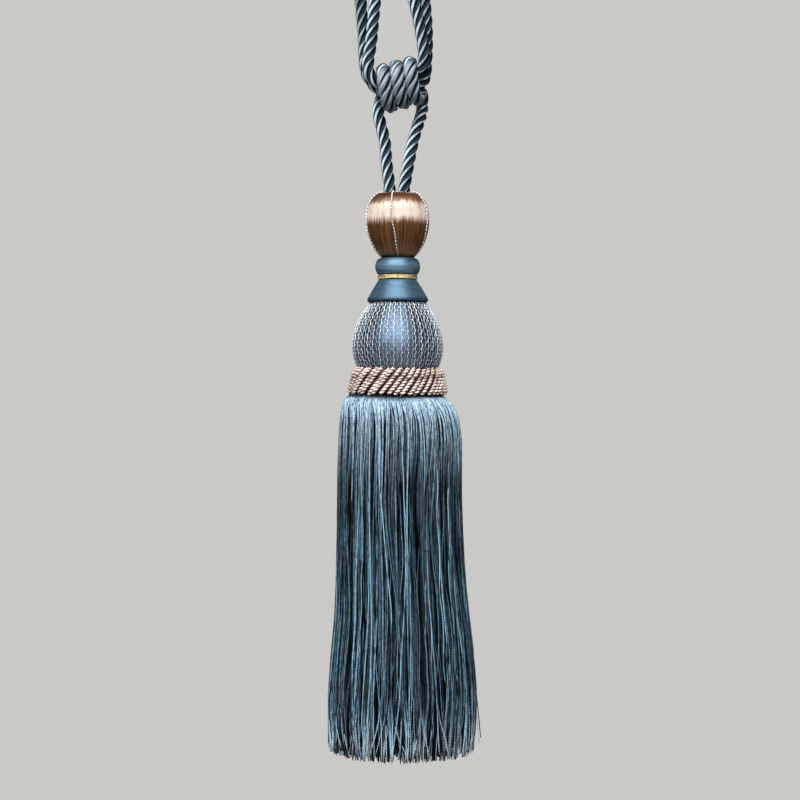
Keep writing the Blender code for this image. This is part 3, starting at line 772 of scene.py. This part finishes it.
@dataclass
class TopMould:
    """The mould wound with gold-bronze thread that goes down its outside and up through its hole."""

    rim_z: float = -0.1388
    rim_r: float = 0.0100
    widest_r: float = 0.0158
    widest_z: float = -0.1515
    foot_r: float = 0.0082
    foot_z: float = -0.17075
    hole_r: float = 0.0074
    hole_depth: float = 0.0054
    axis_r: float = 0.0004  # of the round faces that close the winding in the hole and at the foot
    # How the winding comes out of the hole and bends over the rim: (past the hole's radius, over the rim).
    lip: tuple = ((0.0, -0.0008), (0.0003, -0.0002), (0.0010, 0.0), (0.0020, 0.0), (0.0025, -0.0001))
    side_top: float = 0.0004  # how far below the rim its round side starts
    fullness: float = 2.25  # 2 gives an ellipse, and more a fuller shoulder
    threads: int = 250  # 0.4 mm apart, twice as far as the real ones, so that they show
    relief: float = 0.00009
    rows: int = 26  # above the widest place, and below it
    ragged: float = 0.022  # how unevenly the painted highlight band ends, as a share of the height
    # (way down, how even the threads' tones are): all at their lightest in the painted highlight band
    even: tuple = ((0.0, 0.3), (0.14, 0.3), (0.22, 0.95), (0.40, 0.95), (0.54, 0.2), (1.0, 0.2))
    # The cords laid over the winding: degrees round the mould at the rim, and at the foot.
    cords: tuple = ((-13.0, 2.0), (66.0, 72.0), (140.0, 146.0), (-148.0, -141.0), (-80.0, -70.0))
    cord_r: float = 0.00033
    cord_rings: int = 96
    cord_ply: float = 1.6  # radians of its plies' waves from ring to ring
    cord_thick: float = 0.22  # how much thicker it is over a ply, as a share
    cord_sway: tuple[float, float] = (0.9, 13.0)  # degrees to the sides, and radians of that over its length
    cord_sunk: float = 0.6  # how far its middle lies over the winding, as a share of its radius
    cord_ends: tuple[float, float] = (0.0006, 0.0002)  # how far below the rim, and over the foot, it bends
    # How it comes out of the hole and lies on the rim: (past the hole's or the rim's radius, over the rim).
    cord_start: tuple = ((-0.0004, -0.0020), (0.0004, 0.00020), (-0.0003, 0.00020))
    cord_wander: float = 0.00003

    def radius(self, height: Any) -> Array:
        """Works out the winding's radius at a height.

        Args:
            height: One height or an array of them.

        Returns:
            The radius.
        """
        height = np.asarray(height, float)
        power = np.where(height > self.widest_z, self.fullness, 2.0)
        end = np.where(height > self.widest_z, self.rim_z, self.foot_z)
        last = np.where(height > self.widest_z, self.rim_r, self.foot_r) / self.widest_r
        half = (end - self.widest_z) / (1 - last**power) ** (1 / power)
        return self.widest_r * (1 - np.abs((height - self.widest_z) / half) ** power) ** (1 / power)

    def build(self) -> None:
        """Makes the winding and the cords that are laid over it."""
        self.winding()
        self.laid_cords()

    def winding(self) -> None:
        """Makes the winding, with its ends in the hole and under the foot."""
        upper = np.linspace(self.rim_z - self.side_top, self.widest_z, self.rows)
        lower = np.linspace(self.widest_z, self.foot_z, self.rows)[1:]
        heights = np.concatenate([upper, lower])
        side = np.stack([self.radius(heights), heights], axis=1)
        inside = [(self.axis_r, self.rim_z - self.hole_depth), (self.hole_r, self.rim_z - self.hole_depth)]
        lip = [(self.hole_r + out, self.rim_z + up) for out, up in self.lip]
        profile = np.concatenate([inside, lip, side, [(self.axis_r, self.foot_z)]])
        relief = np.full(len(profile), self.relief)
        relief[[0, 1, -1]] = 0
        down = (self.rim_z - profile[:, 1]) / (self.rim_z - self.foot_z)
        # The painted highlight band, where the threads' tones are all at their lightest.
        even = np.interp(down, *np.array(self.even).T)
        piece = Piece("top_mould_winding", "gold_bronze_thread", Finish.BRONZE, ("top_mould",))
        piece.turned(profile, self.threads, seed=3, relief=relief, even=even, ragged=self.ragged)

    def laid_cords(self) -> None:
        """Makes the cords, which each start in the hole, lie over the rim and go down the side."""
        z = np.linspace(self.rim_z - self.cord_ends[0], self.foot_z + self.cord_ends[1], 40)
        sway, pace = self.cord_sway
        past, up = np.array(self.cord_start).T
        share = np.linspace(0, 1, len(z))
        cords = []
        for first, last in self.cords:
            angle = np.radians(first + (last - first) * share**2 + sway * np.sin(share * pace + first))
            over = turned_point(self.radius(z) + self.cord_sunk * self.cord_r, angle, z)
            rims = np.array([self.hole_r, self.hole_r, self.rim_r])
            start = turned_point(rims + past, angle[0], self.rim_z + up)
            fine = smooth_curve(np.concatenate([start, over]).tolist(), 0.0002)
            cords.append(fine[np.linspace(0, len(fine) - 1, self.cord_rings).round().astype(int)])
        cords = np.array(cords)
        cords += np.random.default_rng(5).normal(0, self.cord_wander, cords.shape)
        plies = np.sin(np.arange(self.cord_rings) * self.cord_ply)
        piece = Piece("top_mould_cords", "gold_bronze_thread", Finish.CREAM)
        reach = self.cord_r * (1 + self.cord_thick * plies)
        # Painted highlight on each ply's crown, and painted shade between the plies.
        piece.threads(cords, reach, sides=6, values={"tone": np.clip(0.7 + 0.5 * plies, 0, 1)})


@dataclass
class Collar:
    """The collar wound with blue-grey thread: a torus, a groove for the gold thread and a flared cone."""

    facets: int = 36
    # The gold thread in the groove, whose turns lie one under the other.
    gold_turns: int = 4
    gold_steps: int = 96
    gold_r: float = 0.0096
    gold_z: float = -0.17998
    gold_pitch: float = 0.00050
    gold_thread_r: float = 0.00030
    gold_wobble: tuple[float, float] = (0.00005, 0.00008)  # outwards, and up and down
    gold_waves: tuple[int, ...] = (3, 5, 8)  # of the wobble, round the collar
    gold_tone: tuple[float, float] = (0.3, 1.0)  # of its darkest turn, and its lightest
    # (height, radius) from the top down.
    outline: tuple = (
        (-0.17105, 0.0070), (-0.17105, 0.0084), (-0.1714, 0.0094), (-0.1720, 0.0101), (-0.1729, 0.0107),
        (-0.1740, 0.0111), (-0.1752, 0.0113), (-0.1764, 0.0112), (-0.1775, 0.0109), (-0.1784, 0.0105),
        (-0.1790, 0.0101), (-0.1794, 0.0095), (-0.1795, 0.0084), (-0.1820, 0.0084), (-0.1822, 0.0097),
        (-0.1840, 0.0108), (-0.1858, 0.0119), (-0.1876, 0.0130), (-0.1894, 0.0140), (-0.1908, 0.0148),
        (-0.1914, 0.0151), (-0.1920, 0.0152), (-0.1926, 0.0151), (-0.1930, 0.0148), (-0.1931, 0.0142),
        (-0.1931, 0.0100),
    )

    def build(self) -> None:
        """Makes the winding and the gold thread."""
        profile = np.array([(radius, height) for height, radius in self.outline])
        piece = Piece("collar_winding", "blue_grey_thread", Finish.COLLAR, ("collar_mould",))
        piece.turned(profile, self.facets, seed=8, even=0.9)
        rng = np.random.default_rng(21)
        angle = np.linspace(0, FULL_TURN, self.gold_steps)
        lines = []
        for i in range(self.gold_turns):
            wobble = sum(
                rng.uniform(-1, 1) * np.sin(k * angle + rng.uniform(0, 6.3)) for k in self.gold_waves
            )
            z = self.gold_z - self.gold_pitch * i + self.gold_wobble[1] * wobble
            lines.append(turned_point(self.gold_r + self.gold_wobble[0] * wobble, angle, z))
        tone = rng.uniform(*self.gold_tone, (self.gold_turns, 1))
        piece = Piece("gold_thread_winding", "gold_thread", Finish.GOLD, ("gold_thread_ring",))
        upwards = (0.0, 0.0, 1.0)
        piece.threads(np.array(lines), self.gold_thread_r, sides=6, values={"tone": tone}, up=upwards)


@dataclass
class NettedBall:
    """A mould wound with blue thread, under a knotted net of silvery thread."""

    facets: int = 45
    inner_r: float = 0.0100  # of the round faces that close it under the collar and in the fringe
    skin: float = 0.00035  # how far the winding lies under the outline, which is the net's
    threads: int = 78
    rows: int = 20  # of knots between the top and the foot
    lean: float = 0.00024  # how far a thread leans to the next one and back
    thread_r: float = 0.00016
    bold: tuple[float, float] = (0.80, 1.15)  # how thick every other thread is, and the ones between them
    pale: tuple[float, float] = (0.74, 1.0)  # how pale they are
    knot: tuple[float, float] = (0.85, 0.5)  # how thick a thread is between knots, and how much more in one
    knot_tone: tuple[float, float] = (0.5, 0.5)  # the same of how pale it is, as a painted highlight at the knots
    uneven: tuple[float, float] = (0.004, 0.07)  # how far knots stray, and threads as a share of their space
    sunk: tuple[float, float] = (0.0001, 0.0002)  # how deep they lie in the outline, and the thin ones
    wander: float = 0.00005
    under: int = 28  # pairs of thin threads under them that lean both ways
    under_lean: float = math.radians(26)
    under_r: float = 0.00010
    under_tone: float = 0.35
    top: float = -0.1934
    # (height, radius)
    outline: tuple = (
        (-0.1934, 0.0141), (-0.1968, 0.0163), (-0.2001, 0.0183), (-0.2035, 0.0200), (-0.2068, 0.0213),
        (-0.2101, 0.0222), (-0.2140, 0.0228), (-0.2178, 0.0227), (-0.2215, 0.0219), (-0.2250, 0.0206),
        (-0.2275, 0.0193),
    )

    def build(self) -> None:
        """Makes the wound mould and its net."""
        side = smooth_outline(self.outline, 0.0009) - (self.skin, 0.0)
        profile = np.concatenate([[(self.inner_r, self.top)], side, [(self.inner_r, side[-1, 1])]])
        piece = Piece("ball_winding", "netted_thread", Finish.BALL, ("net_ball",))
        piece.turned(profile, self.facets, seed=4, even=0.9)
        radius, height = smooth_outline(self.outline, 0.0006).T
        share = np.linspace(0, 1, len(radius))
        rng = np.random.default_rng(9)
        lines, reach, tone = [], [], []
        for i in range(self.threads):
            wave = np.cos(math.pi * self.rows * (share + self.uneven[0] * rng.normal()) + math.pi * (i % 2))
            place = i + self.uneven[1] * rng.normal()
            angle = FULL_TURN * place / self.threads + self.lean * wave / radius
            lines.append(turned_point(radius - self.sunk[0], angle, height))
            thick = self.knot[0] + self.knot[1] * np.abs(wave) ** 6
            reach.append(self.thread_r * self.bold[i % 2] * thick)
            # Painted highlight at the knots.
            pale = self.knot_tone[0] + self.knot_tone[1] * np.abs(wave) ** 2
            tone.append(rng.uniform(0.7, 1.0) * self.pale[i % 2] * pale)
        for i in range(2 * self.under):
            lean = self.under_lean * (1 if i % 2 else -1) * (share - 0.5) * 2
            start = FULL_TURN * (i // 2 + 0.5) / self.under
            lines.append(turned_point(radius - self.sunk[1], start + lean, height))
            reach.append(np.full(len(share), self.under_r))
            tone.append(np.full(len(share), rng.uniform(0.0, self.under_tone)))
        lines = np.array(lines)
        lines = lines + rng.normal(0, self.wander, lines.shape)
        net = Piece("ball_net", "netted_thread", Finish.NET)
        net.threads(lines, reach, sides=4, values={"tone": tone})


@dataclass
class TrimBraid:
    """The braid: a sewn tape with slanted cords of two plies each round it."""

    cords: int = 42
    shift: float = 3.0  # how many cords further round a cord's foot lies than its top
    ply_r: float = 0.00058
    ply_off: float = 0.00056  # from the cord's middle to a ply's
    ply_lay: float = 0.0037
    rings: int = 44
    # The row of stitches: how far down it is, how deep the cords sink there, and how tall it is.
    waist: tuple[float, float, float] = (0.36, 0.0005, 0.09)
    # How far a cord strays: round the braid, as a share of the space between cords, outwards, and downwards.
    stray: tuple[float, float, float] = (0.14, 0.00013, 0.00018)
    sway: float = 0.00016
    sway_pace: tuple[float, float] = (5, 9)  # radians of that over its length
    # Where the stitches pull the most, in radians to the right; how much they pull elsewhere, and more there.
    pull: tuple[float, float, float] = (0.35, 0.45, 0.85)
    pull_share: tuple[float, float] = (0.4, 1.5)  # how differently the cords take the pull
    stitch_stray: float = 0.04  # how far a cord's stitch strays up or down, as a share of its length
    tone: tuple[float, float] = (0.70, 1.0)  # of the darkest cord, and the lightest
    stitch_shade: tuple[float, float] = (0.2, 0.7)  # how much browner they are where they sink at the stitches, as painted shade
    ply_shade: float = 0.33  # how much darker a ply is between the cords' crowns
    tape_ribs: int = 84
    tape_relief: float = 8e-5
    # (height, radius) of a cord's middle, from the top down.
    outline: tuple = (
        (-0.2269, 0.0207), (-0.2272, 0.0213), (-0.2286, 0.0222), (-0.2304, 0.0228), (-0.2330, 0.0232),
        (-0.2356, 0.0236), (-0.2376, 0.0239), (-0.2387, 0.0236), (-0.2389, 0.0229),
    )
    # (radius, height) round the tape's section.
    tape: tuple = (
        (0.0199, -0.2268), (0.0206, -0.2270), (0.0216, -0.2284), (0.0224, -0.2330), (0.0230, -0.2384),
        (0.0214, -0.2390), (0.0206, -0.2290), (0.0199, -0.2277), (0.0199, -0.2268),
    )

    def build(self) -> None:
        """Makes the cords and the tape."""
        curve = smooth_outline(self.outline, 0.0003)
        at = np.linspace(0, len(curve) - 1, self.rings)
        radius, height = (np.interp(at, np.arange(len(curve)), column) for column in curve.T)
        share = np.linspace(0, 1, self.rings)
        down, depth, tall = self.waist
        round_it, outwards, downwards = self.stray
        place, least, more = self.pull
        shift = self.shift * FULL_TURN / self.cords
        rng = np.random.default_rng(17)
        lines, tones = [], []
        for i in range(self.cords):
            angle = FULL_TURN * (i + round_it * rng.normal()) / self.cords - shift * (share - 0.5)
            away = math.remainder(FULL_TURN * i / self.cords - place, FULL_TURN)
            pull = least + more * math.exp(-(away**2))
            sunk = pull * np.exp(-(((share - down + self.stitch_stray * rng.normal()) / tall) ** 2))
            sway = self.sway * np.sin(share * rng.uniform(*self.sway_pace) + rng.uniform(0, 6.3))
            out = radius + outwards * rng.normal() + sway - depth * rng.uniform(*self.pull_share) * sunk
            middle = turned_point(out, angle, height + downwards * rng.normal())
            turned = FULL_TURN * (distances(middle) / self.ply_lay + rng.uniform(0, 1))
            for half_turn in (0.0, math.pi):
                ply = sweep(middle[None], (turned + half_turn)[None, :, None], self.ply_off)[0, :, 0]
                lines.append(ply)
                # Painted shade: the cords are browner where they sink at the stitches, and between their
                # crowns.
                outward = (np.linalg.norm(ply[:, :2], axis=1) - out) / self.ply_off
                tone = rng.uniform(*self.tone) - rng.uniform(*self.stitch_shade) * sunk
                tones.append(tone - self.ply_shade * (1 - outward))
        piece = Piece("trim_cords", "beige_cord", Finish.TRIM, ("trim_band",))
        piece.threads(np.array(lines), self.ply_r, sides=6, values={"tone": np.clip(tones, 0, 1)})
        tape = Piece("trim_tape", "beige_cord", Finish.TAPE)
        tape.turned(np.array(self.tape), self.tape_ribs, seed=2, relief=self.tape_relief, per_rib=2)


@dataclass
class Layer:
    """One layer of fringe yarns."""

    name: str
    yarns: int
    share: float  # of the skirt's radius
    depth: float  # how far yarns of the layer lie from each other, as a share of the radius
    radius: float
    tone: float  # of its lightest yarns; the inner layers' low tones are painted shade
    shade: tuple[float, float]  # how far down the shade between the yarns starts, and within what it is full
    sides: int
    gathered: float = 1.0  # how much of the shared waves they follow
    taper: float = 0.2  # how much thinner they are at the cut, as a share


@dataclass
class Fringe:
    """The cut fringe: layers of yarns that hang from under the braid and gather into loose locks."""

    root_z: float = -0.2394
    cut_z: float = -0.4166
    seed: int = 40
    limit: float = 0.988  # how far out the yarns lie at most, as a share of the outline's radius
    rows: int = 52
    crowding: float = 1.35  # how much closer the rows lie over the shoulder
    jitter: float = 0.45  # how far a yarn's root lies from its even place, as a share of their space
    thick: tuple[float, float] = (0.65, 1.3)  # how thick the thinnest and the thickest yarn are, as a share
    # (share of the yarns, tone up to there): many lie in the shade of others, and few are bright
    tones: tuple = ((0.0, 0.0), (0.50, 0.0), (0.62, 0.05), (0.75, 0.20), (0.84, 0.92), (1.0, 1.0))
    # (fall, how far the yarns are gathered): they come together above the cut, and fan out at it
    fan: tuple = ((0.0, 1.0), (0.72, 1.0), (0.90, 1.55), (1.0, 0.15))
    free_from: float = 0.012  # the fall at which the yarns come free of the braid
    free_rate: float = 14.0  # how soon they are wholly free below there, as 1 over a fall
    loose_from: float = 0.80  # the fall at which they start to spread towards the cut
    crossing: float = 0.18  # the share of the yarns that lie across the others
    lean: tuple[float, float] = (0.018, 0.090)  # radians that yarns lean over their length, and crossing ones
    crossing_wave: float = 0.05  # radians that a crossing yarn waves to the sides
    crossing_pace: tuple[float, float] = (5, 13)  # radians of that wave over its length
    crossing_out: float = 0.02  # how far it lies outside the others at the cut, as a share of the radius
    pale: tuple[float, float] = (0.14, 0.40)  # the share of yarns with pale ends, and more in clusters
    spread: tuple[float, float] = (0.105, 0.035)  # radians that pale ends and the others spread at the cut
    pale_out: float = 0.03  # how far pale ends lie outside the others there, as a share of the radius
    ragged: float = 0.010  # how far the yarns differ in radius there, as a share of it
    end_tone: tuple[float, float] = (2.0, -0.2)  # how much lighter the pale ends and the others become there
    raised: tuple[float, float] = (0.03, 0.12)  # how far out a yarn is raised at the most, and the tone it adds as painted light
    crossing_tone: float = 0.2  # how much lighter a crossing yarn is, as a painted highlight
    shoulder_tone: tuple[float, float] = (0.72, 1.0)  # of the darkest and the lightest yarn over the shoulder, with a painted highlight there
    uneven_cut: float = 0.0042  # how far the shortest yarn ends above the longest
    front_shade: float = 0.016  # how far down the braid's edge shades the yarns in front
    front_ramp: float = 0.006  # within what that shade ends
    # (height, radius, drift of the middle to the right)
    outline: tuple = (
        (-0.2394, 0.0232, -0.0010), (-0.2404, 0.0244, -0.0010), (-0.2420, 0.0264, -0.0008),
        (-0.2445, 0.0281, -0.0003), (-0.2475, 0.0292, 0.0003), (-0.2520, 0.0301, 0.0009),
        (-0.2570, 0.0306, 0.0011), (-0.2620, 0.0310, 0.0012), (-0.2690, 0.0312, 0.0011),
        (-0.2760, 0.0313, 0.0010), (-0.2900, 0.0314, 0.0009), (-0.3060, 0.0317, 0.0011),
        (-0.3220, 0.0322, 0.0013), (-0.3370, 0.0330, 0.0017), (-0.3500, 0.0340, 0.0021),
        (-0.3640, 0.0355, 0.0023), (-0.3710, 0.0362, 0.0023), (-0.3780, 0.0368, 0.0024),
        (-0.3840, 0.0372, 0.0024), (-0.3900, 0.0375, 0.0023), (-0.3955, 0.0375, 0.0023),
        (-0.4010, 0.0373, 0.0022), (-0.4050, 0.0371, 0.0022), (-0.4090, 0.0368, 0.0021),
        (-0.4130, 0.0364, 0.0020), (-0.4166, 0.0361, 0.0020),
    )
    # Real yarns are about 0.3 mm thick. These are drawn at 0.5 mm, and fewer, so that each still shows.
    layers: tuple = (
        Layer("fringe_outer", 300, 0.967, 0.028, 0.00026, 1.00, (0.045, 0.21), 5),
        Layer("fringe_middle", 250, 0.932, 0.030, 0.00026, 0.14, (0.02, 0.05), 4),
        Layer("fringe_under", 260, 0.870, 0.050, 0.00052, 0.05, (0.0, 0.04), 4, 0.3, 0.0),
        Layer("fringe_core", 320, 0.600, 0.400, 0.00080, 0.03, (0.0, 0.04), 3, 0.2, 0.0),
    )
    # Each yarn's own waves: (least and most radians over its length, size as a share of the skirt's radius).
    ripples: tuple = ((14.0, 34.0, 0.0065), (36.0, 70.0, 0.0028))
    # Yarns that stray outwards near the cut: (angle, fall at which it starts, how far out its end lies).
    strays: tuple = ((1.38, 0.82, 0.0042), (1.52, 0.86, 0.0030), (-1.45, 0.90, 0.0010), (2.6, 0.84, 0.0026))
    stray_rise: float = 0.0035  # how much higher their ends lie

    def waves(self, rng: np.random.Generator, lowest: int, highest: int, count: int, steep: float) -> list:
        """Draws waves round the skirt that drift slowly on the way down.

        Args:
            rng: The source of chance.
            lowest: The fewest waves round the skirt.
            highest: The most.
            count: How many waves are summed.
            steep: The sum's usual slope.

        Returns:
            (waves round, change over the skirt's height, phase, size) of each.
        """
        rows = []
        for _ in range(count):
            number = int(rng.integers(lowest, highest + 1))
            size = steep * math.sqrt(2 / count) / number
            rows.append((number, rng.normal(0, 5.0), rng.uniform(0, 6.28), size))
        return rows

    def levels(self) -> tuple[Array, Array, Array]:
        """Reads the outline at each row of the mesh.

        Returns:
            The rows' heights, radii and drifts, close together over the shoulder.
        """
        height, radius, drift = np.array(self.outline).T
        share = np.linspace(0, 1, self.rows) ** self.crowding
        at = self.root_z + (self.cut_z - self.root_z) * share
        return at, np.interp(-at, -height, radius), np.interp(-at, -height, drift)

    def fall(self, height: Array) -> Array:
        """How far down a height is, from 0 at the roots to 1 at the cut."""
        return (self.root_z - height) / (self.root_z - self.cut_z)

    def stray(self, fall: Array, angle: Array, out: Array, z: Array, radius: Array) -> None:
        """Bends the yarns that stray outwards.

        Args:
            fall: How far down each row is.
            angle: The yarns' angles at each row.
            out: Their distances from the axis, as shares of the radius, which are changed.
            z: Their heights, which are changed.
            radius: The outline's radius at each row.
        """
        for way, begin, far in self.strays:
            nearest = np.abs(np.angle(np.exp(1j * (angle[:, -1] - way)))).argmin()
            going = np.clip((fall - begin) / (1 - begin), 0, 1) ** 1.5
            out[nearest] = self.limit + going * far / radius
            z[nearest] += going * self.stray_rise

    def lines(self, layer: Layer, rng: np.random.Generator, shared: list, lift: list) -> tuple[Array, Array]:
        """Lays the yarns of one layer.

        Args:
            layer: The layer.
            rng: The source of chance.
            shared: Waves that gather the yarns, the same in all layers.
            lift: Waves that raise and sink them.

        Returns:
            The yarns' points, and each one's tone at each point.
        """
        height, radius, drift = self.levels()
        fall = self.fall(height)
        count = layer.yarns
        start = FULL_TURN * (np.arange(count) + rng.uniform(-self.jitter, self.jitter, count)) / count
        share = layer.share + layer.depth * rng.uniform(-0.5, 0.5, count)
        angle = start[:, None] + np.zeros(len(height))
        free = np.clip((fall - self.free_from) * self.free_rate, 0, 1)
        fan = layer.gathered * np.interp(fall, *np.array(self.fan).T)
        for number, change, phase, size in shared:
            angle = angle + free * fan * size * np.sin(number * start[:, None] + change * fall + phase)
        # Each yarn has small waves of its own, and a few lie across the others.
        away = np.zeros_like(angle)
        for low, high, size in self.ripples:
            pace, phase = (rng.uniform(*span, count)[:, None] for span in ((low, high), (0, 6.28)))
            angle = angle + free * size * rng.normal(0, 1, count)[:, None] * np.sin(pace * fall + phase)
            phase = rng.uniform(0, 6.28, count)[:, None]
            away = away + free * size * rng.normal(0, 1, count)[:, None] * np.sin(pace * fall + phase)
        crossing = rng.uniform(0, 1, count) < self.crossing
        lean = rng.normal(0, self.lean[0], count) + crossing * rng.normal(0, self.lean[1], count)
        pace, phase = (rng.uniform(*span, count)[:, None] for span in (self.crossing_pace, (0, 6.28)))
        crossing = crossing[:, None]
        angle = angle + free * self.crossing_wave * crossing * np.sin(pace * fall + phase)
        # The pale yarns come in clusters, and spread the most at the cut.
        loose = np.clip((fall - self.loose_from) / (1 - self.loose_from), 0, 1) ** 1.5
        clustered = np.sin(23 * start + 2 * np.sin(7 * start)) > 0.2
        pale = rng.uniform(0, 1, count) < self.pale[0] + self.pale[1] * clustered
        spread = rng.normal(0, 1, count) * np.where(pale, *self.spread)
        pale = pale[:, None]
        angle = angle + lean[:, None] * fall**1.4 + spread[:, None] * loose
        depth = sum(size * np.sin(n * start[:, None] + c * fall + p) for n, c, p, size in lift)
        out = share[:, None] + free * depth + away
        out = out + crossing * self.crossing_out * fall + pale * self.pale_out * loose
        tip = rng.uniform(0, 1, count) ** 2 * self.uneven_cut
        z = height + tip[:, None] * fall**6
        # Sunken yarns are in the shade of the ones beside them, but not where they bend over the shoulder.
        raised = np.clip((out - layer.share) / self.raised[0], -1, 1)
        light = 0.55 * rng.uniform(0, 1, count)[:, None] + 0.45 * (np.arange(count)[:, None] % 2)
        own = layer.tone * np.interp(light, *np.array(self.tones).T)
        own = own + self.raised[1] * raised + crossing * self.crossing_tone
        shoulder = rng.uniform(*self.shoulder_tone, count)[:, None]
        under = np.clip((fall - layer.shade[0]) / layer.shade[1], 0, 1) ** 0.8
        tone = shoulder + (own - shoulder) * under + np.where(pale, *self.end_tone) * loose
        # Painted shadow of the braid's edge on the yarns at the front.
        facing = np.clip(np.cos(angle), 0, 1) ** 2
        tone = tone * (1 - facing * np.clip((self.front_shade - fall) / self.front_ramp, 0, 1))
        out = np.minimum(out, self.limit) * (1 + rng.normal(0, self.ragged, count)[:, None] * loose)
        if layer is self.layers[0]:
            self.stray(fall, angle, out, z, radius)
        points = turned_point(radius * out, angle, z)
        points[..., 0] += drift
        return points, np.clip(tone, 0, 1.4)

    def build(self) -> None:
        """Makes every layer."""
        rng = np.random.default_rng(self.seed)
        shared = self.waves(rng, lowest=14, highest=40, count=8, steep=0.35)
        shared += self.waves(rng, lowest=52, highest=96, count=12, steep=1.05)
        lift = self.waves(rng, lowest=20, highest=80, count=12, steep=1.2)
        fall = self.fall(self.levels()[0])
        for layer in self.layers:
            points, tone = self.lines(layer, rng, shared, lift)
            reach = layer.radius * rng.uniform(*self.thick, layer.yarns)[:, None]
            reach = reach * (1 - layer.taper * fall**8)
            replaced = ("fringe_skirt",) if layer is self.layers[0] else ()
            piece = Piece(layer.name, "fringe_thread", Finish.FRINGE, replaced)
            piece.threads(points, reach, layer.sides, {"tone": tone, "along": fall})


@dataclass
class Studio:
    """Camera, lamps, backdrop and floor."""

    camera_at: tuple = (0.00115, -0.85, -0.242)
    lens: float = 76.5
    sensor: float = 36.0
    lit_at: tuple = (0, 0, -0.22)  # what every lamp faces
    # (name, place, width and height, watts, colour) of each soft box.
    lamps: tuple = (
        ("key", (-0.2, -1.2, 1.63), (2.4, 1.4), 170, "#ffffff"),
        ("front", (0.0, -1.8, -0.1), (0.7, 0.8), 2.5, "#f4f8ff"),
        ("back", (0.1, 1.2, 1.35), (1.0, 1.0), 36, "#ffffff"),
    )
    glow: tuple[str, float] = ("#cfcdca", 0.10)  # the light from all round
    backdrop: tuple[str, float] = ("#cbc9c6", 1.0)  # what the camera sees of it
    floor_z: float = -0.62
    floor_r: float = 0.55
    floor_paint: str = "#8c8a87"

    def lamp(self, name: str, place: tuple, size: tuple, power: float, tint: str) -> None:
        """Adds a soft box.

        Args:
            name: The lamp's name.
            place: Where it stands.
            size: Its width and height in metres.
            power: Watts.
            tint: Its colour.
        """
        data = bpy.data.lights.new(name, "AREA")
        data.shape = "RECTANGLE"
        data.size, data.size_y = size
        data.energy = power
        data.color = linear(tint)[:3]
        lamp = bpy.data.objects.new(name, data)
        bpy.context.scene.collection.objects.link(lamp)
        lamp.location = place
        lamp.visible_camera = False
        right, back, up = np.array(self.lit_at) - np.array(place)
        pitch = math.atan2(up, math.hypot(right, back)) + math.pi / 2
        lamp.rotation_euler = (pitch, 0, -math.atan2(right, back))

    def camera(self) -> None:
        """Sets the camera up at the photograph's viewing angle."""
        data = bpy.data.cameras.new("camera")
        data.lens, data.sensor_width = self.lens, self.sensor
        data.dof.use_dof = False
        camera = bpy.data.objects.new("camera", data)
        camera.location = self.camera_at
        camera.rotation_euler = (math.pi / 2, 0, 0)
        bpy.context.scene.collection.objects.link(camera)
        bpy.context.scene.camera = camera

    def surroundings(self) -> None:
        """Lights the scene a little from all round, in front of a plain pale backdrop."""
        world = bpy.data.worlds.new("studio")
        bpy.context.scene.world = world
        world.use_nodes = True
        tree = world.node_tree
        ground = tree.nodes["Background"]
        ground.inputs["Color"].default_value = linear(self.glow[0])
        ground.inputs["Strength"].default_value = self.glow[1]
        seen = add_node(tree, "Background", {"Color": linear(self.backdrop[0]), "Strength": self.backdrop[1]})
        path = add_node(tree, "LightPath")
        either = {0: path.outputs["Is Camera Ray"], 1: ground.outputs[0], 2: seen.outputs[0]}
        mix = add_node(tree, "MixShader", either)
        tree.links.new(mix.outputs[0], tree.nodes["World Output"].inputs["Surface"])
        bpy.context.scene.view_settings.view_transform = "Standard"

    def floor(self) -> None:
        """Lays a round floor of matt paint."""
        mesh = bpy.data.meshes.new("floor")
        rim = turned_point(self.floor_r, round_angles(96), self.floor_z)
        mesh.from_pydata(rim.tolist(), [], [list(range(len(rim)))])
        floor = bpy.data.objects.new("floor", mesh)
        bpy.context.scene.collection.objects.link(floor)
        paint = bpy.data.materials.new("paint_pale_matt")
        paint.use_nodes = True
        shader = paint.node_tree.nodes["Principled BSDF"]
        shader.inputs["Base Color"].default_value = linear(self.floor_paint)
        shader.inputs["Roughness"].default_value = 0.8
        mesh.materials.append(paint)

    def build(self) -> None:
        """Sets up the studio."""
        self.camera()
        for lamp in self.lamps:
            self.lamp(*lamp)
        self.surroundings()
        self.floor()


def main() -> None:
    """Builds the studio and every part of the tassel on its frame."""
    logging.basicConfig(level=logging.INFO, format="%(message)s")
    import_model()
    Studio().build()
    SlideKnot().build()
    TopMould().build()
    Collar().build()
    NettedBall().build()
    TrimBraid().build()
    Fringe().build()


if __name__ == "__main__":
    main()
